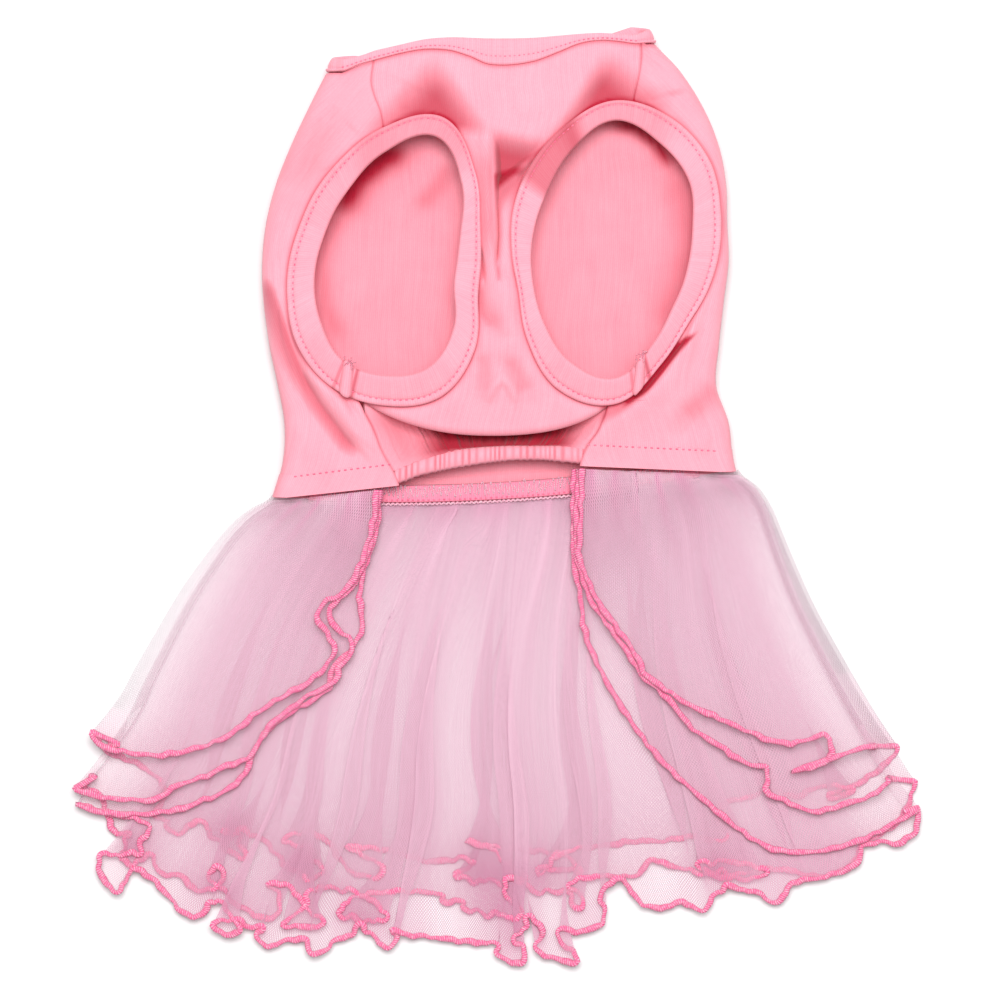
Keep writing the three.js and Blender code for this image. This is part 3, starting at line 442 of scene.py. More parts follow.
# How many steps a tulle layer has over each open flap, each side fold and the back, and how
# many rows from waist to hem.
FRONT, FOLD, BACK, ROWS = 56, 8, 640, 72
SIDE = FRONT + FOLD
WAIST_TUCK = 2.0
WAIST_TUCK_RUN = 0.02
FAN_CURVE = 0.8
PLEAT_START, PLEAT_CURVE = 1.3, 1.5
FOLD_RADIUS_SHARE = 0.8
HEM_CURL_CURVE = 7
TABLE_GAP = 0.5
LAYER_NARROWING = 0.12
PLEAT_LIFT = 0.7
HEM_SOFTNESS = 13
HEM_CURL_LIFT = 0.22
LAYER_SHIFT = 7
FLAP_WOBBLE = 0.6
HEM_WOBBLE = 0.55
FRILL_GAIN = 2.6
# The lettuce edge's small waves: length and share of the height.
LETTUCE_WAVES = ((9.3, 0.5), (6.1, 0.35), (3.7, 0.2))

# The skirt's gathers at the waist. Runs are shares of the way to the hem, with their chances.
GATHERS = {
    "count": 64, "jitter": 1.6, "layer_step": 0.6, "size": (1.3, 3.4), "shift": (0.5, 1.1),
    "lift": (0.3, 0.9), "runs": (0.06, 0.12, 0.25), "chances": (0.4, 0.4, 0.2),
    "soft_start": 0.015, "ends": 5.0, "height": 0.8,
}

# The thread-wound edge of a tulle layer, and the flat girth that its winding is drawn over.
CORD_RADIUS = 1.14
CORD_STEP = 0.9
CORD_SIDES = 8
CORD_GIRTH = 4.0
# How the cord swells and stands: how much, over what length, and how far each layer is shifted.
CORD_SWELLS = ((0.15, 1.9, 1), (0.16, 4.7, 2))
CORD_WAVES = ((0.3, 2.3, 0), (0.25, 3.9, 1))

# Threads: how many sides they have, and a stitch's stations: place along its length, share of
# its radius, and lift in diameters.
THREAD_SIDES = 6
STITCH_STATIONS = ((-0.5, 0.35, -0.55), (-0.36, 0.85, -0.1), (0.0, 1.0, 0.1), (0.36, 0.85, -0.1),
                   (0.5, 0.35, -0.55))

# Sections of the bands: the share of the way across, and the height above the edges.
RING_PROFILE = np.array([
    (0.0, -0.6), (0.004, 0.1), (0.02, 0.65), (0.055, 1.0), (0.12, 1.15), (0.28, 1.2), (0.45, 1.15),
    (0.6, 1.1), (0.70, 0.98), (0.74, 0.75), (0.765, 0.4), (0.785, 0.38), (0.81, 0.7), (0.85, 1.05),
    (0.90, 1.2), (0.95, 1.0), (0.99, 0.45), (1.0, -0.2), (0.97, -0.9), (0.85, -1.2), (0.5, -1.2),
    (0.12, -1.4), (0.02, -1.2),
])
TAB_PROFILE = np.array([
    (0, -0.4), (0.02, 0.2), (0.1, 0.5), (0.5, 0.45), (0.88, 0.5), (0.97, 0.2), (1, -0.5),
    (0.95, -1.2), (0.05, -0.8),
])
NECK_PROFILE = np.array([
    (0.0, -0.2), (0.0, 0.4), (0.03, 0.9), (0.09, 1.3), (0.15, 1.15), (0.19, 0.7), (0.23, 0.65),
    (0.3, 0.95), (0.5, 1.15), (0.75, 1.1), (0.93, 0.8), (1.0, 0.0), (0.9, -0.8), (0.5, -1.0),
    (0.1, -0.9),
])
CASING_PROFILE = np.array([
    (0.0, -0.4), (0.05, 0.2), (0.15, 0.9), (0.35, 1.4), (0.6, 1.5), (0.85, 1.1), (1.0, 0.1),
    (0.9, -1.0), (0.5, -1.4), (0.1, -1.2),
])
SEAM_PROFILE = np.array([(0, 0), (0.1, 0.5), (0.5, 0.6), (0.9, 0.4), (1, 0), (0.5, -0.5)])

# Rows of stitches: pitch, length and radius; and where they lie across and over the bindings.
HEM_STITCHES = (2.5, 1.25, 0.3)
ARMHOLE_STITCHES = (2.4, 1.15, 0.32)
NECK_STITCHES = (1.9, 1.0, 0.22)
WAIST_STITCHES = (2.1, 1.1, 0.36)
ARMHOLE_STITCH_PLACE, ARMHOLE_STITCH_RISE = 0.772, 0.5
NECK_STITCH_PLACE, NECK_STITCH_RISE = 0.33, 0.95
HEM_STITCH_RISE = 1.05

# The bands lie a little over the cloth, and the neck's follows half of its folds.
ARMHOLE_RISE = 0.3
NECK_RISE = 0.4
NECK_RELIEF = 0.5

# The standing tabs where a binding's ends are joined, with frayed threads. Ends and bulge are
# shares of the way across the binding, and lifts are for the inner and outer end.
TAB_POINTS = 11
TAB_RISE = 2.4
TAB_ENDS = (-0.08, 0.94)
TAB_BULGE = 0.14
TAB_LIFTS = (0.8, 0.5)
TAB_EDGE_SHADE = 0.55
FRAYED_THREADS = 9
FRAY_RADIUS = 0.26
FRAY_SCATTER, FRAY_BEND = 0.3, 0.7
FRAY_LENGTHS = (0.8, 2.0)
FRAY_LIFT, FRAY_DROP = 0.2, 1.0

# The overlocked seam: its height off the table and its zigzag and chain threads.
SEAM_HEIGHT = 4.2
SEAM_ENDS = 0.04
SEAM_LOW, SEAM_HIGH = (0, -1.0, 0), (0, 6.2, 0)
CHAIN_PLACE = (0, -1.5, 0.5)
WAIST_STITCH_PLACE = (0, 0.1, 0.5)
ZIGZAG_PITCH = 0.95
ZIGZAG_SWINGS = (1.4, 5.8)
ZIGZAG_SCATTER, ZIGZAG_LEAN = 0.6, 0.25
ZIGZAG_RISE = 0.62
ZIGZAG_RADIUS = 0.24
CHAIN_PITCH = 0.5
CHAIN_RADIUS = 0.5
CHAIN_SWAY, CHAIN_PACE = 0.28, 1.7

# The camera looks straight down. Lengths are in metres, but the sensor's width in millimetres.
CAMERA_HEIGHT = 2.6
CAMERA_PLACE = (0.002, -0.0021)
VIEW_WIDTH = 0.4
SENSOR_WIDTH = 36.0
FLOOR_HALF = 3.0
FLOOR_GAP = 0.0003
WORLD_LIGHT = 0.46


# ---- curves and tables ----

def lerp(a, b, t):
    return a + (b - a) * t


def smooth(t):
    k = np.clip(t, 0.0, 1.0)
    return k * k * (3 - 2 * k)


def bell(distance, reach):
    """One at no distance, falling away over a reach."""
    return np.exp(-(distance / reach) ** 2)


def together(*parts):
    """Joins coordinates, each a number or a grid of them, into points."""
    return np.stack(np.broadcast_arrays(*parts), axis=-1)


def unit(vectors):
    return vectors / np.maximum(np.linalg.norm(vectors, axis=-1, keepdims=True), 1e-9)


def lengths_along(path):
    """How far each point of a path lies along it."""
    return np.concatenate([[0], np.cumsum(np.linalg.norm(np.diff(path, axis=0), axis=-1))])


def cubic(a, b, c, d, t):
    m = (c - a) / 2
    n = (d - b) / 2
    k = b - c
    return b + t * (m + t * (-3 * k - 2 * m - n + t * (2 * k + m + n)))


def along_values(values, place):
    """Reads equally spaced values at fractional places along them."""
    values = np.asarray(values, float)
    last = len(values) - 1
    place = np.clip(np.asarray(place, float), 0, last)
    i = np.minimum(last - 1, np.floor(place).astype(int))
    pick = [values[np.clip(i + k, 0, last)] for k in (-1, 0, 1, 2)]
    t = place - i
    return cubic(*pick, t[..., None] if values.ndim > 1 else t)


def read_table(table, column, at):
    """Reads a column of a table at values of its first column."""
    place = np.interp(at, table[:, 0], np.arange(len(table)))
    return along_values(table[:, column], place)


def read_ring(ring, bearing):
    ring = np.asarray(ring, float)
    n = len(ring)
    place = (np.asarray(bearing, float) % 360) / 360 * n
    i = np.floor(place).astype(int)
    return cubic(*(ring[(i + k) % n] for k in (-1, 0, 1, 2)), place - i)


def along_path(points, t):
    points = np.asarray(points, float)
    return along_values(points, np.clip(t, 0, 1) * (len(points) - 1))


def resample(path, step):
    """Points at even steps along a path, as near to the step as fits."""
    path = np.asarray(path, float)
    lengths = lengths_along(path)
    at = np.linspace(0, lengths[-1], max(2, int(round(lengths[-1] / step)) + 1))
    return together(*(np.interp(at, lengths, path[:, k]) for k in range(3)))


def seam_x(points, y):
    return read_table(np.array(points, float)[:, ::-1], 1, y)


# ---- the bodice's cloth ----

def belly_height(x, y):
    side = read_table(BODY, 3, y)
    crown = read_table(BODY, 4, y)
    return side + crown * np.maximum(0, 1 - (x / BODY_HALF_WIDTH) ** 2)


def fold_relief(folds, x, y):
    """How far soft folds raise or lower a sheet, each with its own width on either side."""
    relief = np.zeros(np.broadcast(x, y).shape)
    for path, (left, right), rise in folds:
        best = np.full(relief.shape, np.inf)
        value = np.zeros(relief.shape)
        whole = sum(math.dist(a, b) for a, b in zip(path[:-1], path[1:]))
        taper = min(FOLD_TAPER, whole / 3)
        cap = (left + right) / 2
        passed = 0.0
        for (ax, ay), (bx, by) in zip(path[:-1], path[1:]):
            dx, dy = bx - ax, by - ay
            length = math.hypot(dx, dy)
            along = ((x - ax) * dx + (y - ay) * dy) / length
            across = ((x - ax) * dy - (y - ay) * dx) / length
            beyond = np.maximum(0, np.maximum(-along, along - length))
            distance = np.hypot(across, beyond)
            place = passed + np.clip(along, 0, length)
            swell = smooth((np.minimum(place, whole - place) + taper / 3) / taper)
            width = np.where(across < 0, left, right)
            here = rise * swell * np.exp(-(across / width) ** 2 - (beyond / cap) ** 2)
            value = np.where(distance < best, here, value)
            best = np.minimum(distance, best)
            passed += length
        relief = relief + value
    return relief


def hollow_depth(x, y, measure, spread=0.0):
    """The hollows' sinking, and for the tone measure their painted shade: full inside each, soft
    towards its sides.
    """
    depth = np.zeros(np.broadcast(x, y).shape)
    for patch in HOLLOWS:
        corners = patch["corners"]
        share = np.ones(depth.shape)
        for (ax, ay), (bx, by), soft in zip(corners, corners[1:] + corners[:1], patch["soft"]):
            dx, dy = bx - ax, by - ay
            inward = (dx * (y - ay) - dy * (x - ax)) / math.hypot(dx, dy)
            share = share * smooth((inward + spread) / soft)
        depth = depth + patch[measure] * share
    return depth


def near_seams(x, y, reach):
    """One along the seams that join the chest to the back, falling away over a reach."""
    near = np.zeros(np.broadcast(x, y).shape)
    for seams in SEAMS.values():
        for points in seams.values():
            inside = (y > points[0][1]) & (y < points[-1][1])
            near = near + np.where(inside, bell(x - seam_x(points, y), reach), 0)
    return near


def near_rings(x, y, reach):
    """One inside the armhole bindings' outer edges, falling away outside over a reach."""
    near = 0
    for hole in ARMHOLES.values():
        dx, dy = x - hole["middle"][0], y - hole["middle"][1]
        edge = read_ring(hole["outer"], np.degrees(np.arctan2(dy, dx)))
        near = near + bell(np.maximum(0, np.hypot(dx, dy) - edge), reach)
    return near


def cloth_relief(x, y):
    """Every fold on the bodice, calmer towards the waist hem and held up by the bindings."""
    calm = smooth((y - CALM_FROM) / CALM_OVER)
    free = 1 - RING_HOLD * near_rings(x, y, RING_HOLD_REACH)
    folds = fold_relief(FOLDS, x, y) * calm - hollow_depth(x, y, "depth") * free
    folds = folds - RING_SINK * near_rings(x, y, RING_SINK_REACH)
    return folds - SEAM_SINK * near_seams(x, y, SEAM_SINK_REACH)


def painted_shade(points):
    """Painted shade at points, from none to one: a deeper pink in folds, hollows and creases and on
    the back's inner face.
    """
    x, y = points[..., 0], points[..., 1]
    sinking = [row for row in FOLDS if row[2] < 0]
    sunk = np.maximum(0, -fold_relief(sinking, x, y) - SHALLOW_FOLD)
    depth = hollow_depth(x, y, "tone", PAINTED_SHADE_SPREAD) + FOLD_PAINTED_SHADE * sunk
    depth = depth * smooth((y - PALE_FROM) / PALE_OVER) - fold_relief(SHADED_OUTSIDE, x, y)
    creases = near_rings(x, y, RING_SHADE_REACH) + near_seams(x, y, SEAM_SHADE_REACH)
    depth = depth + CREASE_PAINTED_SHADE * creases
    depth = depth + CREASE_PAINTED_SHADE * bell(read_table(NECK, 1, x) - y, NECK_SHADE_REACH)
    inside = INSIDE_PAINTED_SHADE - fold_relief(SHADED_INSIDE, x, y)
    facing = smooth((points[..., 2] - TABLE_LAYER) / TABLE_EASE)
    return np.clip(lerp(inside, depth, facing) / PAINTED_SHADE_DEPTH, 0, 1) ** PAINTED_SHADE_CURVE


def armhole_point(side, edge, bearing, clearance=0.0):
    hole = ARMHOLES[side]
    reach = read_ring(hole[edge], bearing) + clearance
    angle = np.radians(bearing)
    x = hole["middle"][0] + reach * np.cos(angle)
    y = hole["middle"][1] + reach * np.sin(angle)
    lift = read_ring(hole["tilt"], bearing) if edge == "inner" else 0.0
    return together(x, y, belly_height(x, y) + lift)


def armhole_edge_x(side, y):
    """The X of an armhole's outer edge, towards the body's side fold, at heights y."""
    edge = armhole_point(side, "outer", np.linspace(*OUTER_HALVES[side], 240), -TUCK)
    order = np.argsort(edge[:, 1])
    return np.interp(y, edge[order, 1], edge[order, 0])


def back_panel_edge(side, y):
    """The X of the back panel's belly-side edge: its seams, and the armhole between them."""
    below, shoulder = SEAMS[side]["below"], SEAMS[side]["shoulder"]
    inward = 1 if side == "left" else -1
    foot_x = shoulder[0][0] + inward * SHOULDER_LAP
    beside = armhole_edge_x(side, y)
    limited = inward * np.minimum(inward * beside, inward * foot_x)
    beside = np.where(y > ARMHOLES[side]["middle"][1], limited, beside)
    above = seam_x(shoulder, y) + inward * SHOULDER_LAP
    return np.where(y <= below[-1][1], seam_x(below, y),
                    np.where(y >= shoulder[0][1], above, beside))


# ---- meshes ----

def add_piece(name, verts, faces, material, uv, values=None, closed=True):
    """Adds a mesh that rides on the frame. A closed one has its faces turned outward."""
    mesh = bpy.data.meshes.new(name)
    verts = np.asarray(verts, float).reshape(-1, 3) - (*FOOTPRINT_MIDDLE, 0)
    mesh.from_pydata((verts * MM).tolist(), [], faces)
    layer = mesh.uv_layers.new(name="cloth")
    corners = np.zeros(len(mesh.loops), int)
    mesh.loops.foreach_get("vertex_index", corners)
    layer.data.foreach_set("uv", (np.reshape(uv, (-1, 2))[corners] * MM).ravel())
    for key, numbers in (values or {}).items():
        attribute = mesh.attributes.new(key, "FLOAT", "POINT")
        attribute.data.foreach_set("value", np.asarray(numbers, float).ravel())
    mesh.shade_smooth()
    mesh.materials.append(material)
    piece = bpy.data.objects.new(name, mesh)
    bpy.context.scene.collection.objects.link(piece)
    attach(piece, "root")
    if closed:
        face_outward(mesh)
    return piece


def face_outward(mesh):
    """Turns the faces of a closed mesh outward where its volume is negative."""
    verts = np.zeros(len(mesh.vertices) * 3)
    mesh.vertices.foreach_get("co", verts)
    mesh.calc_loop_triangles()
    triangles = np.zeros(len(mesh.loop_triangles) * 3, int)
    mesh.loop_triangles.foreach_get("vertices", triangles)
    a, b, c = (verts.reshape(-1, 3)[triangles[k::3]] for k in range(3))
    if np.einsum("ij,ij->i", a, np.cross(b, c)).sum() < 0:
        mesh.flip_normals()


def grid_quads(rows, columns, offset=0, flip=False, wrap_rows=False, wrap_columns=False):
    r = np.arange(rows if wrap_rows else rows - 1)[:, None]
    c = np.arange(columns if wrap_columns else columns - 1)[None, :]
    a = r * columns + c
    b = r * columns + (c + 1) % columns
    d = ((r + 1) % rows) * columns + c
    e = ((r + 1) % rows) * columns + (c + 1) % columns
    quads = np.stack([a, b, e, d] if not flip else [a, d, e, b], axis=-1).reshape(-1, 4)
    return (quads + offset).tolist()


def ring_faces(rows, columns, offset=0, closed=False):
    """Faces between rings of points, capped at both ends unless the rings close."""
    faces = grid_quads(rows, columns, offset, wrap_rows=closed, wrap_columns=True)
    if not closed:
        last = offset + (rows - 1) * columns
        faces.append(tuple(range(offset, offset + columns)))
        faces.append(tuple(range(last, last + columns))[::-1])
    return faces


def cloth_lengths(grid):
    """Flat coordinates of a grid: lengths along its rows, from their middles, and columns."""
    across = np.linalg.norm(np.diff(grid, axis=1), axis=-1)
    down = np.linalg.norm(np.diff(grid, axis=0), axis=-1)
    u = np.pad(np.cumsum(across, axis=1), ((0, 0), (1, 0)))
    v = np.pad(np.cumsum(down, axis=0), ((1, 0), (0, 0)))
    return together(u - u[:, [u.shape[1] // 2]], v)


def cloth_shell(name, grid, wall, shaded=0.0):
    """A closed wall of jersey about a grid of middle points. Rows run down, columns across."""
    rows, columns = grid.shape[:2]
    normals = unit(np.cross(np.gradient(grid, axis=1), np.gradient(grid, axis=0)))
    if normals[rows // 2, columns // 2, 2] < 0:
        normals = -normals
    faces = grid_quads(rows, columns) + grid_quads(rows, columns, rows * columns, flip=True)
    numbers = np.arange(rows * columns).reshape(rows, columns)
    rim = np.concatenate([numbers[:, 0], numbers[-1, 1:], numbers[-2::-1, -1],
                          numbers[0, -2:0:-1]]).tolist()
    for a, b in zip(rim, rim[1:] + rim[:1]):
        faces.append((a, b, b + rows * columns, a + rows * columns))
    # Painted shade: the larger of the folds' and hollows' deeper pink and the shade passed in.
    depth = np.maximum(painted_shade(grid), shaded)
    piece = add_piece(name, [grid + normals * wall / 2, grid - normals * wall / 2], faces,
                      PINK, [cloth_lengths(grid)] * 2, {"painted_shade": [depth] * 2})
    piece.data.set_sharp_from_angle(angle=math.radians(SHARP_ANGLE))
    return piece


def frames(path):
    """Directions at each point of a path: along it, level across it, and square to both."""
    along = unit(np.gradient(path, axis=0))
    side = np.cross(along, (0.0, 0.0, 1.0))
    level = np.linalg.norm(side, axis=1, keepdims=True)
    side = np.where(level > 0.05, unit(side), (1.0, 0.0, 0.0))
    for i in range(1, len(path)):
        if np.dot(side[i], side[i - 1]) < 0 and level[i] < 0.5:
            side[i] = -side[i]
    return along, side, np.cross(side, along)


def round_ring(side, rise, sides, flatten=1.0):
    """Offsets of the points round a cord at each place along it, for a radius of one."""
    angles = np.arange(sides)[:, None] / sides * 2 * math.pi
    return side[:, None] * np.cos(angles) + rise[:, None] * np.sin(angles) * flatten


def tube(name, path, radius, sides, material, flatten=1.0):
    """A cord along a path of points, with a radius at each and closed ends."""
    path = np.asarray(path, float)
    _, side, rise = frames(path)
    radius = np.broadcast_to(radius, len(path))[:, None, None]
    rings = path[:, None] + round_ring(side, rise, sides, flatten) * radius
    uv = together(lengths_along(path)[:, None], np.arange(sides) / sides * CORD_GIRTH)
    return add_piece(name, rings, ring_faces(len(path), sides), material, uv)


def stitch_row(name, path, pitch, length, radius):
    """A row of short threads that dip into the cloth at both ends."""
    centres = resample(path, pitch)
    along, side, rise = frames(centres)
    ring = round_ring(side, rise, THREAD_SIDES) * radius
    rings, faces = [], []
    for shift, swell, lift in STITCH_STATIONS:
        middle = centres + along * shift * length + rise * lift * radius * 2
        rings.append(middle[:, None] + ring * swell)
    rings = np.stack(rings, axis=1)
    stations = len(STITCH_STATIONS)
    for number in range(len(centres)):
        faces += ring_faces(stations, THREAD_SIDES, number * stations * THREAD_SIDES)
    add_piece(name, rings, faces, STITCH_PINK, np.zeros((rings.size // 3, 2)))


# ---- materials ----

class Nodes:
    """A short way to add and link a material's nodes."""

    def __init__(self, name):
        self.material = bpy.data.materials.new(name)
        self.material.use_nodes = True
        self.tree = self.material.node_tree
        self.shader = self.tree.nodes["Principled BSDF"]

    def add(self, kind, **settings):
        node = self.tree.nodes.new(kind)
        for key, value in settings.items():
            setattr(node, key, value)
        return node

    def feed(self, value, socket):
        if isinstance(value, bpy.types.NodeSocket):
            self.tree.links.new(value, socket)
        else:
            socket.default_value = value

    def math(self, operation, *values, clamp=False):
        node = self.add("ShaderNodeMath", operation=operation, use_clamp=clamp)
        for socket, value in zip(node.inputs, values):
            self.feed(value, socket)
        return node.outputs[0]

    def times(self, a, b):
        return self.math("MULTIPLY", a, b)

    def total(self, first, *others):
        for other in others:
            first = self.math("ADD", first, other)
        return first

    def wave(self, along, length):
        return self.math("SINE", self.times(along, 2 * math.pi / length))

    def cloth(self):
        """The cloth's flat coordinates, together and apart."""
        uv = self.add("ShaderNodeUVMap", uv_map="cloth").outputs["UV"]
        parts = self.add("ShaderNodeSeparateXYZ")
        self.feed(uv, parts.inputs[0])
        return uv, parts.outputs["X"], parts.outputs["Y"]

    def place(self):
        return self.add("ShaderNodeTexCoord").outputs["Object"]

    def stretched(self, vector, across, along):
        mapping = self.add("ShaderNodeMapping")
        mapping.inputs["Scale"].default_value = (across, along, 1.0)
        self.feed(vector, mapping.inputs["Vector"])
        return mapping.outputs[0]

    def noise(self, vector, scale, detail=2.0, roughness=0.5):
        node = self.add("ShaderNodeTexNoise")
        node.inputs["Scale"].default_value = scale
        node.inputs["Detail"].default_value = detail
        node.inputs["Roughness"].default_value = roughness
        self.feed(vector, node.inputs["Vector"])
        return node.outputs["Fac"]

    def attribute(self, name):
        return self.add("ShaderNodeAttribute", attribute_name=name).outputs["Fac"]

    def ramp(self, factor, stops):
        node = self.add("ShaderNodeValToRGB")
        while len(node.color_ramp.elements) < len(stops):
            node.color_ramp.elements.new(0.5)
        for element, (place, colour) in zip(node.color_ramp.elements, stops):
            element.position = place
            element.color = (*colour, 1.0)
        self.feed(factor, node.inputs["Fac"])
        return node.outputs["Color"]

    def mix(self, factor, colour, other):
        node = self.add("ShaderNodeMix", data_type="RGBA")
        self.feed(factor, node.inputs["Factor"])
        self.feed(colour, node.inputs["A"])
        node.inputs["B"].default_value = (*other, 1.0)
        return node.outputs["Result"]

    def bump(self, height, distance, strength):
        node = self.add("ShaderNodeBump")
        node.inputs["Strength"].default_value = strength
        node.inputs["Distance"].default_value = distance
        self.feed(height, node.inputs["Height"])
        self.feed(node.outputs["Normal"], self.shader.inputs["Normal"])

    def finish(self, colour, **sockets):
        """Sets the shader and gives back the material."""
        self.feed(colour, self.shader.inputs["Base Color"])
        for key, value in sockets.items():
            self.feed(value, self.shader.inputs[key.replace("_", " ")])
        return self.material


def knit_material(name, light, dark, deep_shade=(0.42, 0.012, 0.035), wale=0.0008):
    """Jersey: fine wales along the cloth, a heathered colour, a soft matte face and painted shade as a
    deep rose.
    """
    n = Nodes(name)
    uv, u, v = n.cloth()
    place = n.place()
    wobble = n.noise(place, 260.0)
    wales = n.wave(n.total(u, n.times(wobble, 0.0006)), wale)
    courses = n.wave(v, wale * 0.8)
    fuzz = n.noise(place, 1400.0, 3.0)
    mottle = n.noise(place, 95.0, 3.0)
    slubs = n.noise(n.stretched(uv, 900.0, 45.0), 1.0)
    tone = n.total(n.times(wales, 0.10), n.times(courses, 0.02), n.times(fuzz, 0.3),
                   n.times(mottle, 0.3), n.times(slubs, 0.4))
    # Painted shade: an attribute mixes the cloth towards a deep rose.
    colour = n.mix(n.attribute("painted_shade"), n.ramp(tone, [(0.25, dark), (0.75, light)]), deep_shade)
    height = n.total(n.times(wales, 0.35), n.times(courses, 0.12), n.times(fuzz, 1.2))
    n.bump(height, 0.00010, 0.5)
    return n.finish(colour, Roughness=0.92, Sheen_Weight=0.2, Sheen_Roughness=0.5,
                    Specular_IOR_Level=0.15)


def thread_material(name, light, dark, turn=0.0009):
    """Thread wound over an edge: slanting turns along the cord, with a painted highlight on their
    crests.
    """
    n = Nodes(name)
    _, u, v = n.cloth()
    turns = n.wave(n.total(u, n.times(v, 0.35)), turn)
    fuzz = n.noise(n.place(), 900.0)
    # Painted highlight: a paler pink at the crests of the turns.
    painted_highlight = tuple(lerp(part, 1.0, 0.35) for part in light)
    tone = n.total(n.times(turns, 0.22), fuzz)
    n.bump(n.total(turns, n.times(fuzz, 0.8)), 0.00022, 0.8)
    return n.finish(n.ramp(tone, [(0.25, dark), (0.6, light), (0.85, painted_highlight)]),
                    Roughness=0.6, Sheen_Weight=0.15, Specular_IOR_Level=0.3)


def tulle_material(name, light, dark, deep_shade=(0.58, 0.15, 0.31), cell=0.0009):
    """Net: two slanting sets of fine threads, closer where the cloth is gathered, with painted shade
    deepening its pink.
    """
    n = Nodes(name)
    uv, u, v = n.cloth()
    lines = []
    for slant in (0.62, -0.62):
        wave = n.wave(n.total(u, n.times(v, slant)), 2 * cell)
        lines.append(n.math("SUBTRACT", 1.0, n.math("ABSOLUTE", wave)))
    net = n.math("POWER", n.math("MAXIMUM", *lines), 2.5)
    streaks = n.noise(n.stretched(uv, 420.0, 9.0), 1.0, 3.0, 0.6)
    cover = n.times(n.total(0.07, n.times(net, 0.42)), n.total(0.7, n.times(streaks, 0.6)))
    clear = n.math("POWER", n.math("SUBTRACT", 1.0, cover), n.attribute("crowd"))
    tone = n.total(streaks, n.times(net, 0.25))
    colour = n.mix(n.attribute("painted_net_shade"), n.ramp(tone, [(0.35, dark), (0.85, light)]), deep_shade)
    return n.finish(colour, Alpha=n.math("SUBTRACT", 1.0, clear, clamp=True), Roughness=0.55,
                    Sheen_Weight=0.2, Specular_IOR_Level=0.35)


def floor_material():
    n = Nodes("pale_floor")
    tone = n.noise(n.place(), 3.0)
    return n.finish(n.ramp(tone, [(0.0, (0.78, 0.78, 0.78)), (1.0, (0.80, 0.80, 0.80))]),
                    Roughness=0.9)


PINK = knit_material("pink_jersey", (0.95, 0.405, 0.485), (0.91, 0.29, 0.37))
BINDING_PINK = knit_material("pink_binding", (0.95, 0.405, 0.485), (0.91, 0.29, 0.37), wale=0.0009)
STITCH_PINK = thread_material("pink_stitches", (0.84, 0.20, 0.32), (0.70, 0.09, 0.20))
FRAY_PINK = thread_material("pink_frayed_ends", (0.93, 0.34, 0.45), (0.86, 0.20, 0.31))
EDGE_PINK = thread_material("pink_rolled_edge", (0.98, 0.26, 0.45), (0.90, 0.13, 0.31))
SEAM_PINK = knit_material("pink_seam_allowance", (0.93, 0.31, 0.43), (0.86, 0.20, 0.31))
PALE_THREAD = thread_material("pale_pink_thread", (0.95, 0.52, 0.64), (0.90, 0.36, 0.50))
NET_PINK = tulle_material("pink_tulle", (0.83, 0.56, 0.67), (0.79, 0.47, 0.60))


# ---- bodice ----

def back_relief(x, y, t):
    """The back lies in soft waves between the side folds, flat at the neck and the hem."""
    level = smooth(t / BACK_SIDE_EASE) * smooth((1 - t) / BACK_SIDE_EASE)
    level = level * smooth((y - BACK_LOW) / BACK_EASE) * smooth((BACK_HIGH - y) / BACK_EASE)
    return (BACK_RISE + fold_relief(BACK_FOLDS, x, y)) * level


def body_section(share, above, wall):
    """A section of the flattened tube, open on the belly side, from left to right."""
    low = wall / 2
    halves = []
    for side, column, outward in (("left", 1, -1), ("right", 2, 1)):
        sizes = SIDES[side]
        y = lerp(sizes["hem"] + above, sizes["neck"], share)
        edge_y = lerp(sizes["hem_edge"] + above, sizes["neck_edge"], share)
        edge = back_panel_edge(side, edge_y)
        fold_x = read_table(BODY, column, y)
        height = read_table(BODY, 3, y)
        rise = (height - low) / 2
        radius = min(rise, abs(fold_x - edge) * FOLD_SHARE)
        t = np.arange(BODY_STRIP) / BODY_STRIP
        x = lerp(edge, fold_x - outward * radius, t)
        strip_y = lerp(edge_y, y, t)
        z = lerp(belly_height(edge, edge_y), height, t)
        z += cloth_relief(x, strip_y) * smooth(np.abs(x - fold_x + outward * radius) / FOLD_EASE)
        angle = np.arange(BODY_TURN + 1) / BODY_TURN * math.pi
        turn = together(fold_x - outward * radius * (1 - np.sin(angle)), y,
                        low + rise * (1 + np.cos(angle)))
        halves.append(np.concatenate([together(x, strip_y, z), turn]))
    t = np.arange(1, BODY_BACK) / BODY_BACK
    back = lerp(halves[0][-1], halves[1][-1], t[:, None])
    drop = BACK_HEM_DROP * (1 - smooth(share * 2)) + BACK_NECK_DROP * smooth(share * 2 - 1)
    back[:, 1] -= drop * 4 * t * (1 - t)
    back[:, 2] += back_relief(back[:, 0], back[:, 1], t)
    return np.concatenate([halves[0], back, halves[1][::-1]])


def back_panel():
    grid = np.array([body_section(share, HEM_DEPTH, JERSEY) for share in np.linspace(0, 1, BODY_ROWS)])
    piece = cloth_shell("back_panel_cloth", grid, JERSEY)
    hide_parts("back_panel")


def waist_hem():
    grid = np.array([body_section(0, above, HEM_WALL) for above in np.linspace(0, HEM_DEPTH, 14)])
    piece = cloth_shell("waist_hem_cloth", grid, HEM_WALL)
    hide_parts("waist_hem")
    line = grid[-2] + (0, 0, HEM_STITCH_RISE)
    for side, part in (("left", line[:BODY_STRIP]), ("right", line[:-BODY_STRIP - 1:-1])):
        stitch_row(f"waist_hem_stitches_{side}", part, *HEM_STITCHES)


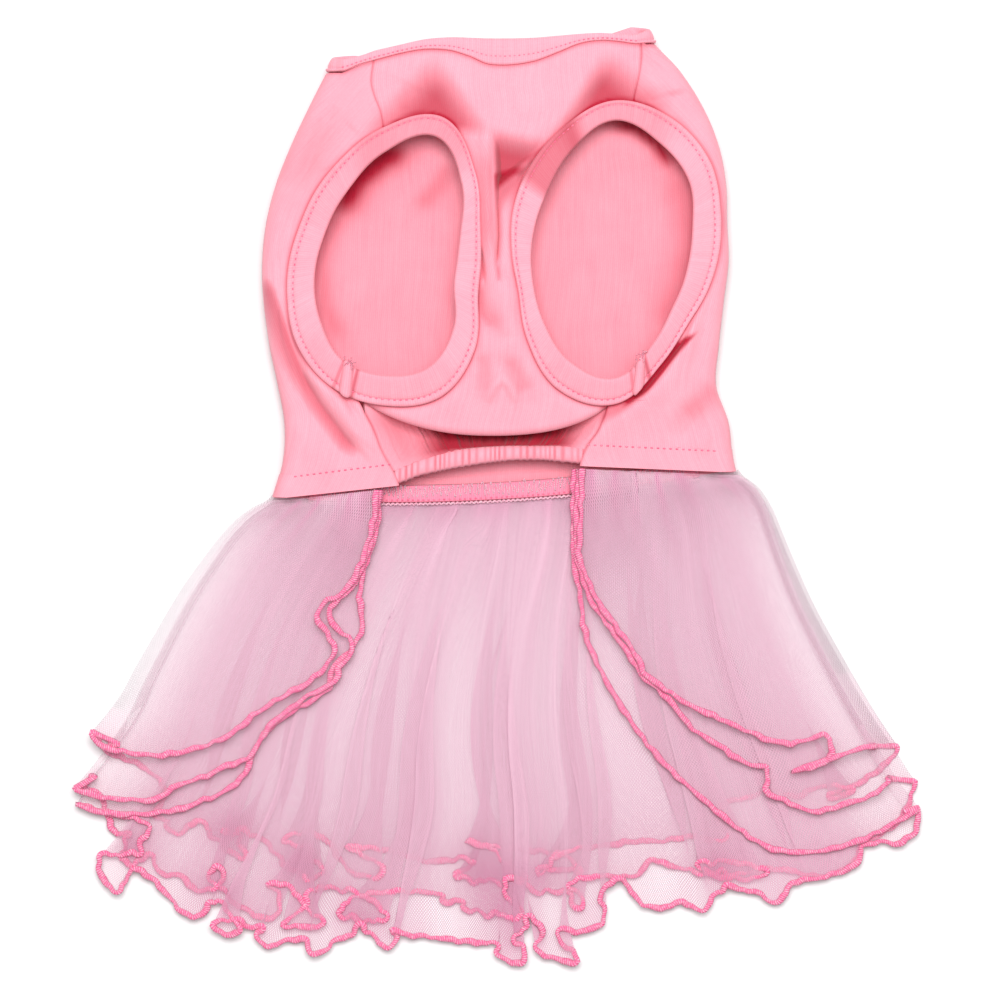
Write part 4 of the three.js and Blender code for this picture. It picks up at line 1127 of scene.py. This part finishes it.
def chest_edge(side, v):
    """Points of the chest panel's side edge at row places v."""
    k = 0 if side == "left" else 1
    y = along_values([row[k] for row in CHEST_SHOULDER_ROWS], v)
    x = seam_x(SEAMS[side]["shoulder"], y)
    rows = np.array(CHEST_RING_ROWS, float)
    at = (v - SHOULDER_ROWS, np.arange(len(rows)))
    ring = armhole_point(side, "outer", np.interp(*at, rows[:, 2 * k]),
                         -np.interp(*at, rows[:, 2 * k + 1]))
    return lerp(together(x, y, belly_height(x, y)), ring, smooth(v - 2)[:, None])


def chest_panel():
    count = len(CHEST_RING_ROWS) + SHOULDER_ROWS - 1
    v = np.linspace(0, count, count * 10 + 1)
    u = np.linspace(0, 1, 180)
    left, right = chest_edge("left", v), chest_edge("right", v)
    straight = (left[:, 1] + right[:, 1]) / 2
    middles = [*straight[:10 * SHOULDER_ROWS:10], *(row[4] for row in CHEST_RING_ROWS)]
    sag = along_values(middles, v) - straight
    x = lerp(left[:, :1], right[:, :1], u)
    y = lerp(left[:, 1:2], right[:, 1:2], u)
    y = y + sag[:, None] * (1 - np.abs(2 * u - 1) ** lerp(*SAG_FLATNESS, u))
    neck = read_table(NECK, 1, x) + NECK_TUCK
    y = y + (neck[:1] - y[:1]) * (1 - smooth(v / 3)[:, None])
    z = belly_height(x, y) + cloth_relief(x, y)
    inside = np.minimum(u, 1 - u) * np.abs(right[:, :1] - left[:, :1])
    z = z - SEAM_EDGE_SINK * bell(inside, SEAM_EDGE_REACH) * (1 - smooth(v - 2)[:, None])
    z = z - NECK_SINK * bell(neck - y, NECK_SINK_REACH)
    panel = together(x, y, z)
    turned = turned_edge(*panel[-1].T, u)
    shade = np.interp(np.arange(len(turned)), *LIP_SHADE)[:, None]
    middle = smooth((turned[..., 0] - LIP_SHADE_LEFT) / LIP_SHADE_LEFT_EASE)
    middle = middle * smooth((LIP_SHADE_RIGHT - turned[..., 0]) / LIP_SHADE_RIGHT_EASE)
    shade = shade * lerp(LIP_SHADE_ENDS, 1.0, middle) * smooth(np.minimum(u, 1 - u) * 9)
    piece = cloth_shell("chest_panel_cloth", np.concatenate([panel, turned]), JERSEY,
                        np.concatenate([np.zeros(x.shape), shade]))
    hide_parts("chest_panel")


def turned_edge(x, y, z, u):
    """The chest's rolled lower edge and the gathered strip that runs under it to the elastic."""
    radius = LIP_RADIUS * (LIP_THINNEST + (1 - LIP_THINNEST) * (1 - (2 * u - 1) ** 6))
    rows = [together(x, y - radius * math.sin(angle), z - radius * (1 - math.cos(angle)))
            for angle in np.linspace(0, math.pi, 13)[1:]]
    start = rows[-1]
    casing_x = lerp(CASING[0, 0], CASING[-1, 0], u)
    casing = together(casing_x, read_table(CASING, 1, casing_x) - NECK_TUCK, CASING_HEIGHT)
    phase = u * 2 * math.pi * PLEAT_COUNT
    for amount, pace in PLEAT_WANDER:
        phase = phase + amount * np.sin(u * pace)
    pleat = np.sin(phase) + 0.5 * np.sin(phase * 0.53)
    pleat = pleat * smooth((u - 0.1) / 0.2) * smooth((0.9 - u) / 0.15)
    edge = np.minimum(u, 1 - u)
    for t in np.linspace(0, 1, 18)[1:]:
        row = lerp(start, casing, t)
        ends = []
        for side, k, outward in (("left", 0, -1), ("right", -1, 1)):
            seam = seam_x(SEAMS[side]["below"], row[k, 1]) + outward * SEAM_TUCK
            ends.append(lerp(row[k, 0], seam, smooth(t * 3)))
        row[:, 0] = lerp(*ends, (row[:, 0] - row[0, 0]) / (row[-1, 0] - row[0, 0]))
        height = (PLEAT_HEIGHT + PLEAT_GROWTH * t) * (1 - t ** 5)
        row[:, 2] += pleat * height * smooth(edge * 12 * (1.3 - t))
        row[:, 2] -= CAVITY * math.sin(math.pi * t ** 0.6) * smooth(edge * 6)
        row[:, 0] += PLEAT_SWAY * np.cos(phase) * t ** 2
        rows.append(row)
    return np.array(rows)


def swept_band(name, a, b, profile, material, closed=True, shaded=0.0):
    """A band whose section spans pairs of edge points, with shade painted along its length."""
    across = (b - a)[:, None]
    pairs = a + b
    along = np.roll(pairs, -1, 0) - np.roll(pairs, 1, 0) if closed else np.gradient(pairs, axis=0)
    normal = unit(np.cross(along, b - a))
    normal *= np.sign(normal[:, 2].sum())
    rings = a[:, None] + across * profile[:, :1] + normal[:, None] * profile[:, 1:]
    uv = together(lengths_along(pairs / 2)[:, None], lengths_along(rings[0]))
    depth = np.repeat(np.broadcast_to(shaded, len(rings)), len(profile))
    piece = add_piece(name, rings, ring_faces(*rings.shape[:2], closed=closed), material,
                      uv, {"painted_shade": depth})
    return piece, normal


def armhole_binding(side):
    bearings = np.linspace(0, 360, 541)[:-1]
    inner = armhole_point(side, "inner", bearings) + (0, 0, ARMHOLE_RISE)
    outer = armhole_point(side, "outer", bearings) + (0, 0, ARMHOLE_RISE)
    shaded = np.zeros(len(bearings))
    for band_side, first, last, soft, depth in SHADED_BANDS:
        if band_side == side:
            shaded += depth * smooth((bearings - first) / soft + 0.5) * smooth(
                (last - bearings) / soft + 0.5)
    name = f"armhole_binding_{side}"
    piece, normal = swept_band(name + "_cloth", inner, outer, RING_PROFILE, BINDING_PINK,
                               shaded=shaded)
    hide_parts(name)
    up = np.where(normal[:, 2:3] < 0, -normal, normal)
    line = lerp(inner, outer, ARMHOLE_STITCH_PLACE) + up * ARMHOLE_STITCH_RISE
    stitch_row(name + "_stitches", np.concatenate([line, line[:1]]), *ARMHOLE_STITCHES)


def binding_joint(side, inner_bearing, outer_bearing, span):
    """The standing tab where a binding's ends are sewn together, frayed at its inner end."""
    across = np.linspace(-1, 1, TAB_POINTS)
    turns = np.linspace(-span, span, TAB_POINTS)
    inner = armhole_point(side, "inner", inner_bearing + turns)
    outer = armhole_point(side, "outer", outer_bearing + turns)
    dome = np.sqrt(1 - across ** 2)
    a = lerp(inner, outer, TAB_ENDS[0])
    b = lerp(inner, outer, (TAB_ENDS[1] + TAB_BULGE * dome)[:, None])
    for edge, lift in zip((a, b), TAB_LIFTS):
        edge[:, 2] += lift + TAB_RISE * dome
    name = f"binding_joint_{side}"
    piece, _ = swept_band(name + "_cloth", a, b, TAB_PROFILE, BINDING_PINK,
                          closed=False, shaded=TAB_EDGE_SHADE * np.abs(across) ** 5)
    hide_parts(name)
    rng = np.random.default_rng(3)
    middle = TAB_POINTS // 2
    outward = unit(b[middle] - a[middle])
    for number in range(FRAYED_THREADS):
        start = a[rng.integers(1, TAB_POINTS - 1)]
        start = start + rng.normal(0, FRAY_SCATTER, 3) + (0, 0, FRAY_LIFT)
        reach = outward * rng.uniform(*FRAY_LENGTHS)
        bend = rng.normal(0, FRAY_BEND, 3)
        points = [start + outward, start, start - reach * 0.5 + bend,
                  start - reach * 0.3 + bend * 1.8]
        curve = along_path(points, np.linspace(0, 1, 12))
        curve[:, 2] = np.maximum(curve[:, 2], start[2] - FRAY_DROP)
        tube(f"{name}_fray_{number}", curve, FRAY_RADIUS, THREAD_SIDES, FRAY_PINK)


def neck_binding():
    front_x = np.linspace(NECK[0, 0], NECK[-1, 0], 130)
    seam_y, free_y = read_table(NECK, 1, front_x), read_table(NECK, 2, front_x)
    z = belly_height(front_x, seam_y) + NECK_RISE
    z = z + NECK_RELIEF * fold_relief(FOLDS, front_x, seam_y)
    seam, free = together(front_x, seam_y, z), together(front_x, free_y, z - NECK_RISE)
    row = body_section(1, 0, NECK_WALL)
    back = row[BODY_STRIP + 1:-BODY_STRIP - 1][::-1]
    number = np.arange(len(back))
    inward = np.minimum(number, number[::-1]) / (BODY_TURN - 1)
    back_seam = back + (0, NECK_BACK_LIFT, 0)
    back_free = back_seam.copy()
    pull = NECK_PULL * np.sin(math.pi * np.minimum(1, inward / NECK_PULL_SPAN))
    back_free[:, 0] -= np.sign(back[:, 0]) * pull
    back_free[:, 1] += lerp(NECK_FOLD_BAND, NECK_BACK_BAND, smooth(inward))
    piece, _ = swept_band("neck_binding_cloth", np.concatenate([seam, back_seam]),
                          np.concatenate([free, back_free]), NECK_PROFILE, BINDING_PINK)
    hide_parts("neck_binding")
    line = lerp(seam, free, NECK_STITCH_PLACE) + (0, 0, NECK_STITCH_RISE)
    stitch_row("neck_binding_stitches", line, *NECK_STITCHES)


def elastic_casing():
    x = np.linspace(CASING[0, 0], CASING[-1, 0], 420)
    turns = x / GATHER_PITCH
    for amount, length in GATHER_WANDER:
        turns = turns + amount * np.sin(x / length)
    phase = 2 * math.pi * turns
    groove = np.abs(np.cos(phase / 2)) ** 5 * (0.75 + 0.25 * np.sin(x / 1.9 + 1))
    gather = GATHER_HEIGHT - GROOVE_DEPTH * groove
    upper = read_table(CASING, 1, x)
    lower = read_table(CASING, 2, x) + GATHER_SCALLOP * gather
    share, rise = CASING_PROFILE.T
    swell = 1 + GATHER_SWELL * gather[:, None] * np.sin(math.pi * share)
    rings = together(x[:, None], lerp(upper[:, None], lower[:, None], share),
                     CASING_HEIGHT + rise * swell)
    uv = together(x[:, None] * 1.6, share * 8)
    # Painted shade in the grooves between the gathers.
    piece = add_piece("elastic_casing_cloth", rings, ring_faces(*rings.shape[:2]), PINK,
                      uv, {"painted_shade": np.repeat(CASING_SHADE * groove, len(share))})
    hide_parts("elastic_casing")


def waist_seam():
    """The overlocked seam that joins the skirt: an allowance with zigzag and chain threads."""
    first = BODY_STRIP + BODY_TURN
    line = body_section(0, 0, SEAM_WALL)[first:first + BODY_BACK + 1]
    t = np.linspace(0, 1, len(line))
    line = line[(t > SEAM_ENDS) & (t < 1 - SEAM_ENDS)]
    line[:, 2] = SEAM_HEIGHT
    piece, _ = swept_band("waist_seam_cloth", line + SEAM_LOW, line + SEAM_HIGH, SEAM_PROFILE,
                          SEAM_PINK, closed=False)
    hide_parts("waist_seam")
    rng = np.random.default_rng(5)
    zigzag = []
    for number, centre in enumerate(resample(line, ZIGZAG_PITCH)):
        swing = ZIGZAG_SWINGS[number % 2] + rng.normal(0, ZIGZAG_SCATTER)
        zigzag.append(centre + (rng.normal(0, ZIGZAG_LEAN), swing, ZIGZAG_RISE))
    zigzag = along_path(zigzag, np.linspace(0, 1, len(zigzag) * 5))
    tube("waist_seam_zigzag", zigzag, ZIGZAG_RADIUS, THREAD_SIDES, PALE_THREAD, flatten=0.6)
    chain = resample(line + CHAIN_PLACE, CHAIN_PITCH)
    chain[:, 1] += CHAIN_SWAY * np.sin(np.arange(len(chain)) * CHAIN_PACE)
    tube("waist_seam_chain", chain, CHAIN_RADIUS, THREAD_SIDES, PALE_THREAD)
    stitch_row("waist_seam_stitches", line + WAIST_STITCH_PLACE, *WAIST_STITCHES)


# ---- skirt ----

def inside_path(points, t, inset):
    """Points on a side fold's path, moved in from it for the layers inside."""
    ahead = along_path(points, np.minimum(1, t + 0.02)) - along_path(points, np.maximum(0, t - 0.02))
    turn = 1 if points[0][0] < 0 else -1
    return along_path(points, t) + turn * inset * unit(ahead)[..., ::-1] * (-1, 1)


def skirt_front_height(y):
    return SKIRT_FRONT["tip"] + (SKIRT_FRONT["waist"] - SKIRT_FRONT["tip"]) * np.exp(
        np.minimum(0, y / SKIRT_FRONT["fall"]))


def near_frills(x, y, spread):
    """One where the hem's frills crowd together, falling away over their reach."""
    return sum(np.exp(-((x - at_x) ** 2 + (y - at_y) ** 2) / (spread * reach) ** 2)
               for at_x, at_y, reach in FRILLS)


def turn_normals_up(mesh):
    """Shades net by the light from above more than by its slope, as threads all round do."""
    normals = np.zeros(len(mesh.vertices) * 3)
    mesh.vertices.foreach_get("normal", normals)
    normals = normals.reshape(-1, 3)
    normals[:, 2] += NET_UPTURN * np.where(normals[:, 2] < 0, -1.0, 1.0)
    mesh.normals_split_custom_set_from_vertices(unit(normals).tolist())


def even_curve(points, count, wobble, seed):
    """A smooth curve through points, at even steps, with a lettuce edge's small waves."""
    dense = along_path(points, np.linspace(0, 1, len(points) * 24))
    lengths = lengths_along(dense)
    at = np.linspace(0, lengths[-1], count)
    curve = together(*(np.interp(at, lengths, dense[:, k]) for k in (0, 1)))
    rng = np.random.default_rng(seed)
    side = unit(np.gradient(curve, axis=0)[:, ::-1] * (-1, 1))
    wave = sum(np.sin(2 * math.pi * (at / step + rng.random())) * part
               for step, part in LETTUCE_WAVES)
    ends = np.minimum(1, np.minimum(at, lengths[-1] - at) / 4)
    gain = 1 + FRILL_GAIN * near_frills(*curve.T, 1.0)
    return curve + side * (wave * wobble * ends * gain)[:, None]


def soften(curve, reach):
    """A curve averaged over a reach of its points, with its ends kept."""
    pad = 3 * reach
    kernel = np.exp(-0.5 * (np.arange(-pad, pad + 1) / reach) ** 2)
    padded = np.concatenate([2 * curve[:1] - curve[1:pad + 1][::-1], curve,
                             2 * curve[-1:] - curve[-pad - 1:-1][::-1]])
    return together(*(np.convolve(padded[:, k], kernel / kernel.sum(), "valid") for k in (0, 1)))


def doubled_fold(place, middle, width):
    """The sideways shift and the lift that double cloth back on itself over a width."""
    spread = width / 1.3
    t = (place - middle) / spread
    swell = np.exp((1 - t * t) / 2)
    return -1.5 * spread * t * swell, swell * (1 + np.tanh(t * 2)) * 0.5


def skirt_back(layer, index, folds, share, low):
    """The part of a tulle layer that lies under the belly, between its side folds."""
    left, right = folds["left"], folds["right"]
    hem = even_curve(layer["hem"], BACK + 1, HEM_WOBBLE, 40 + index)
    base = soften(hem, HEM_SOFTNESS)
    place_hem = (base[:, 0] - left[-1, 0]) / (right[-1, 0] - left[-1, 0])
    place = lerp(np.linspace(0, 1, BACK + 1), place_hem, share ** FAN_CURVE)
    x = lerp(left[:, :1], right[:, :1], place)
    y = lerp(left[:, 1:], right[:, 1:], place)
    tips = lerp(left[-1, 1], right[-1, 1], place_hem)
    y = y - (1 - share) * BACK_HEM_DROP * 4 * place * (1 - place) + share * (base[:, 1] - tips)
    y = y + WAIST_TUCK * np.exp(-share / WAIST_TUCK_RUN)
    near_hem = share ** HEM_CURL_CURVE
    curl = hem - base
    x = x + near_hem * curl[:, 0]
    y = y + near_hem * curl[:, 1]
    z = low + near_hem * np.hypot(*curl.T) * HEM_CURL_LIFT
    fan = smooth(share * PLEAT_START)
    for middle, width in PLEATS:
        width = width * (1 - LAYER_NARROWING * index)
        shift, lift = doubled_fold(base[:, 0], middle + LAYER_SHIFT * index, width)
        x = x + shift * fan ** PLEAT_CURVE * (1 - near_hem)
        z = z + lift * PLEAT_LIFT * fan
    return together(x, y, z)


def skirt_sheet(layer, index):
    """Points of one tulle layer: its front strips, side folds and back, from waist to hem."""
    low = TABLE_GAP + index * TULLE_PITCH
    share = np.linspace(0, 1, ROWS)[:, None]
    folds, fronts = {}, {}
    for side, outward in (("left", -1), ("right", 1)):
        bend = inside_path(SKIRT_SIDES[side], share[:, 0] * layer["reach"], index * TULLE_PITCH)
        edge = even_curve(layer[side], ROWS, FLAP_WOBBLE, 30 + index)
        fold_z, edge_z = (skirt_front_height(line[:, 1:]) - index * TULLE_PITCH
                          for line in (bend, edge))
        rise = (fold_z - low) / 2
        radius = np.minimum(rise, np.abs(bend[:, :1] - edge[:, :1]) * FOLD_RADIUS_SHARE)
        t = np.arange(FRONT) / FRONT
        strip = together(lerp(edge[:, :1], bend[:, :1] - outward * radius, t),
                         lerp(edge[:, 1:], bend[:, 1:], t), lerp(edge_z, fold_z, t))
        angle = np.arange(FOLD) / FOLD * math.pi
        turn = together(bend[:, :1] - outward * radius * (1 - np.sin(angle)), bend[:, 1:],
                        low + rise * (1 + np.cos(angle)))
        folds[side] = bend
        fronts[side] = np.concatenate([strip, turn], 1)
    back = skirt_back(layer, index, folds, share, low)
    return np.concatenate([fronts["left"], back, fronts["right"][:, ::-1]], 1)


def add_gathers(grid, index):
    """Folds that start where the waist gathers the tulle and run out towards the hem."""
    rng = np.random.default_rng(7)
    share = np.linspace(0, 1, len(grid))[:, None]
    lengths = lengths_along(grid[0, :, :2])
    shift = np.zeros(grid.shape[:2])
    lift = np.zeros(grid.shape[:2])
    middles = np.linspace(0, lengths[-1], GATHERS["count"])
    middles = middles + rng.normal(0, GATHERS["jitter"], GATHERS["count"])
    for middle in middles + GATHERS["layer_step"] * index:
        size = rng.uniform(*GATHERS["size"])
        run = rng.choice(GATHERS["runs"], p=GATHERS["chances"])
        t = (lengths - middle) / size
        swell = np.exp((1 - t * t) / 2)
        fade = np.exp(-share / run) * (1 - 0.6 * np.exp(-share / GATHERS["soft_start"]))
        shift += -rng.uniform(*GATHERS["shift"]) * size * t * swell * fade
        lift += rng.uniform(*GATHERS["lift"]) * swell * fade
    ends = smooth(np.minimum(lengths, lengths[-1] - lengths) / GATHERS["ends"])
    grid[..., :2] += unit(np.gradient(grid[..., :2], axis=1)) * (shift * ends)[..., None]
    grid[..., 2] += lift * ends * GATHERS["height"]
    return grid, lift * ends


def tulle_density(grid, flat_width):
    """How much closer the back's net lies than when it is flat, at each point."""
    rows, columns = grid.shape[:2]
    x = grid[..., 0]
    across = np.linalg.norm(np.gradient(grid[..., :2], axis=1), axis=-1)
    closeness = flat_width / columns / np.maximum(across, CLOSEST_COLUMNS)
    crowd = np.clip(closeness, *NET_CROWDING) ** NET_CROWD_CURVE
    bands = np.ones(columns)
    for left, right, amount in NET_BANDS:
        bands += amount * smooth((x[-1] - left) / BAND_SOFTNESS + 0.5) * smooth(
            (right - x[-1]) / BAND_SOFTNESS + 0.5)
    share = np.linspace(0, 1, rows)[:, None]
    inward = np.minimum(x - x[:, [SIDE]], x[:, [-SIDE]] - x)
    sides = lerp(SIDE_NET, 1.0, smooth(inward / SIDE_FADE))
    frills = near_frills(x, grid[..., 1], FRILL_SPREAD)
    return crowd * bands * (1 + HEM_CROWD * share ** 5 + FRILL_CROWD * frills) * sides


def flap_gathers(side, share):
    """How deep a flap's gathers are where they fan out from the waist, open edge first."""
    from_edge = np.linspace(0, 1, SIDE)
    fade = sum(part * np.exp(-share / run) for part, run in FLAP_FADES)
    return sum(amount * bell(from_edge - middle, width * (1 + FLAP_WIDENING * share)) * fade
               for middle, width, amount in FLAP_GATHERS[side])


def net_shading(grid, gathers, share):
    """How close the net lies and how much shade is painted into its pink, over the back and the open
    flaps.
    """
    hem_length = lengths_along(grid[-1])[-1]
    crowd = tulle_density(grid, hem_length)
    # Painted shade: a deeper pink under the waist's gathers, where the frills crowd, towards the hem
    # and in the flaps' gathers.
    deep_shade = WAIST_PAINTED_SHADE * np.exp(-share / WAIST_SHADE_RUN) * (0.5 + np.minimum(gathers, 1.0))
    frills = near_frills(grid[..., 0], grid[..., 1], FRILL_SPREAD)
    deep_shade = deep_shade + FRILL_PAINTED_SHADE * frills + HEM_PAINTED_SHADE * share ** 4
    strip = FLAP_NET + FLAP_WAIST_NET * np.exp(-share / FLAP_WAIST_RUN)
    strip = strip * lerp(1.0, FLAP_SIDE_NET, smooth(np.linspace(0, 1, SIDE) * 2 - 0.8))
    turn = smooth(np.linspace(0, 1, FOLD))
    for side, step in (("left", 1), ("right", -1)):
        flap = flap_gathers(side, share)
        near, tone = crowd[:, ::step], deep_shade[:, ::step]
        near[:, :SIDE] = strip * (FLAP_PLAIN_NET + FLAP_CROWD * flap)
        tone[:, :SIDE] = FLAP_PAINTED_SHADE * flap
    crowd[:, FRONT:SIDE] = lerp(crowd[:, [FRONT - 1]], crowd[:, [SIDE]], turn)
    crowd[:, -SIDE:-FRONT] = lerp(crowd[:, [-SIDE - 1]], crowd[:, [-FRONT]], turn)
    mean = GATHER_MEAN * np.exp(-share / GATHER_MEAN_RUN)
    crowd = crowd * (1 + GATHER_TONE * (gathers - mean))
    return {"crowd": crowd, "painted_net_shade": np.clip(deep_shade, 0, 1)}


def net_lengths(grid):
    """Flat coordinates of a layer: hem lengths over the back, its own widths over the flaps."""
    u = np.tile(lengths_along(grid[-1]), (len(grid), 1))
    widths = np.linalg.norm(np.diff(grid, axis=1), axis=-1)
    u[:, :SIDE] = u[:, [SIDE]] - np.cumsum(widths[:, SIDE - 1::-1], axis=1)[:, ::-1]
    u[:, -SIDE:] = u[:, [-SIDE - 1]] + np.cumsum(widths[:, -SIDE:], axis=1)
    down = np.linalg.norm(np.diff(grid, axis=0), axis=-1).mean(axis=1)
    return together(u, np.concatenate([[0], np.cumsum(down)])[:, None])


def skirt_layer(layer, index):
    grid, gathers = add_gathers(skirt_sheet(layer, index), index)
    share = np.linspace(0, 1, ROWS)[:, None]
    piece = add_piece(layer["name"] + "_cloth", grid, grid_quads(*grid.shape[:2]), NET_PINK,
                      net_lengths(grid), net_shading(grid, gathers, share), closed=False)
    turn_normals_up(piece.data)
    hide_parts(layer["name"])
    rim = resample(np.concatenate([grid[:, 0], grid[-1, 1:-1], grid[::-1, -1]]), CORD_STEP)
    at = np.arange(len(rim)) * CORD_STEP
    swell, wave = (sum(amount * np.sin(at / length + step * index) for amount, length, step in rows)
                   for rows in (CORD_SWELLS, CORD_WAVES))
    rim[:, 2] += wave
    edge = tube(layer["name"] + "_edge", rim, CORD_RADIUS * (1 + swell), CORD_SIDES, EDGE_PINK,
                flatten=0.7)


# ---- stage ----

def add_camera():
    data = bpy.data.cameras.new("camera")
    data.sensor_width = SENSOR_WIDTH
    data.lens = SENSOR_WIDTH * CAMERA_HEIGHT / VIEW_WIDTH
    data.clip_end = 20.0
    camera = bpy.data.objects.new("camera", data)
    camera.location = (*CAMERA_PLACE, CAMERA_HEIGHT)
    bpy.context.scene.collection.objects.link(camera)
    bpy.context.scene.camera = camera


def add_area_light(name, place, size, power):
    data = bpy.data.lights.new(name, "AREA")
    data.shape = "DISK"
    data.size = size
    data.energy = power
    light = bpy.data.objects.new(name, data)
    light.location = place
    light.rotation_euler = (-Vector(place)).to_track_quat("-Z", "Y").to_euler()
    bpy.context.scene.collection.objects.link(light)


def add_stage():
    half = FLOOR_HALF
    mesh = bpy.data.meshes.new("floor")
    mesh.from_pydata([(-half, -half, 0), (half, -half, 0), (half, half, 0), (-half, half, 0)],
                     [], [(0, 1, 2, 3)])
    mesh.materials.append(floor_material())
    floor = bpy.data.objects.new("floor", mesh)
    floor.location.z = -FLOOR_GAP
    bpy.context.scene.collection.objects.link(floor)
    world = bpy.data.worlds.new("studio")
    world.use_nodes = True
    sky = world.node_tree.nodes["Background"]
    sky.inputs["Color"].default_value = (1.0, 1.0, 1.0, 1.0)
    sky.inputs["Strength"].default_value = WORLD_LIGHT
    bpy.context.scene.world = world
    add_area_light("key", (-0.2, 0.95, 3.5), 1.9, 108.0)
    add_area_light("second", (0.9, 0.7, 3.4), 1.9, 33.0)
    scene = bpy.context.scene
    scene.view_settings.view_transform = "Standard"
    scene.cycles.transparent_max_bounces = 32


add_camera()
add_stage()
back_panel()
waist_hem()
chest_panel()
armhole_binding("left")
armhole_binding("right")
binding_joint("left", 251.2, 253.6, 2.7)
binding_joint("right", 283.6, 279.8, 2.7)
neck_binding()
elastic_casing()
waist_seam()
for number, skirt in enumerate(SKIRT_LAYERS):
    skirt_layer(skirt, number)
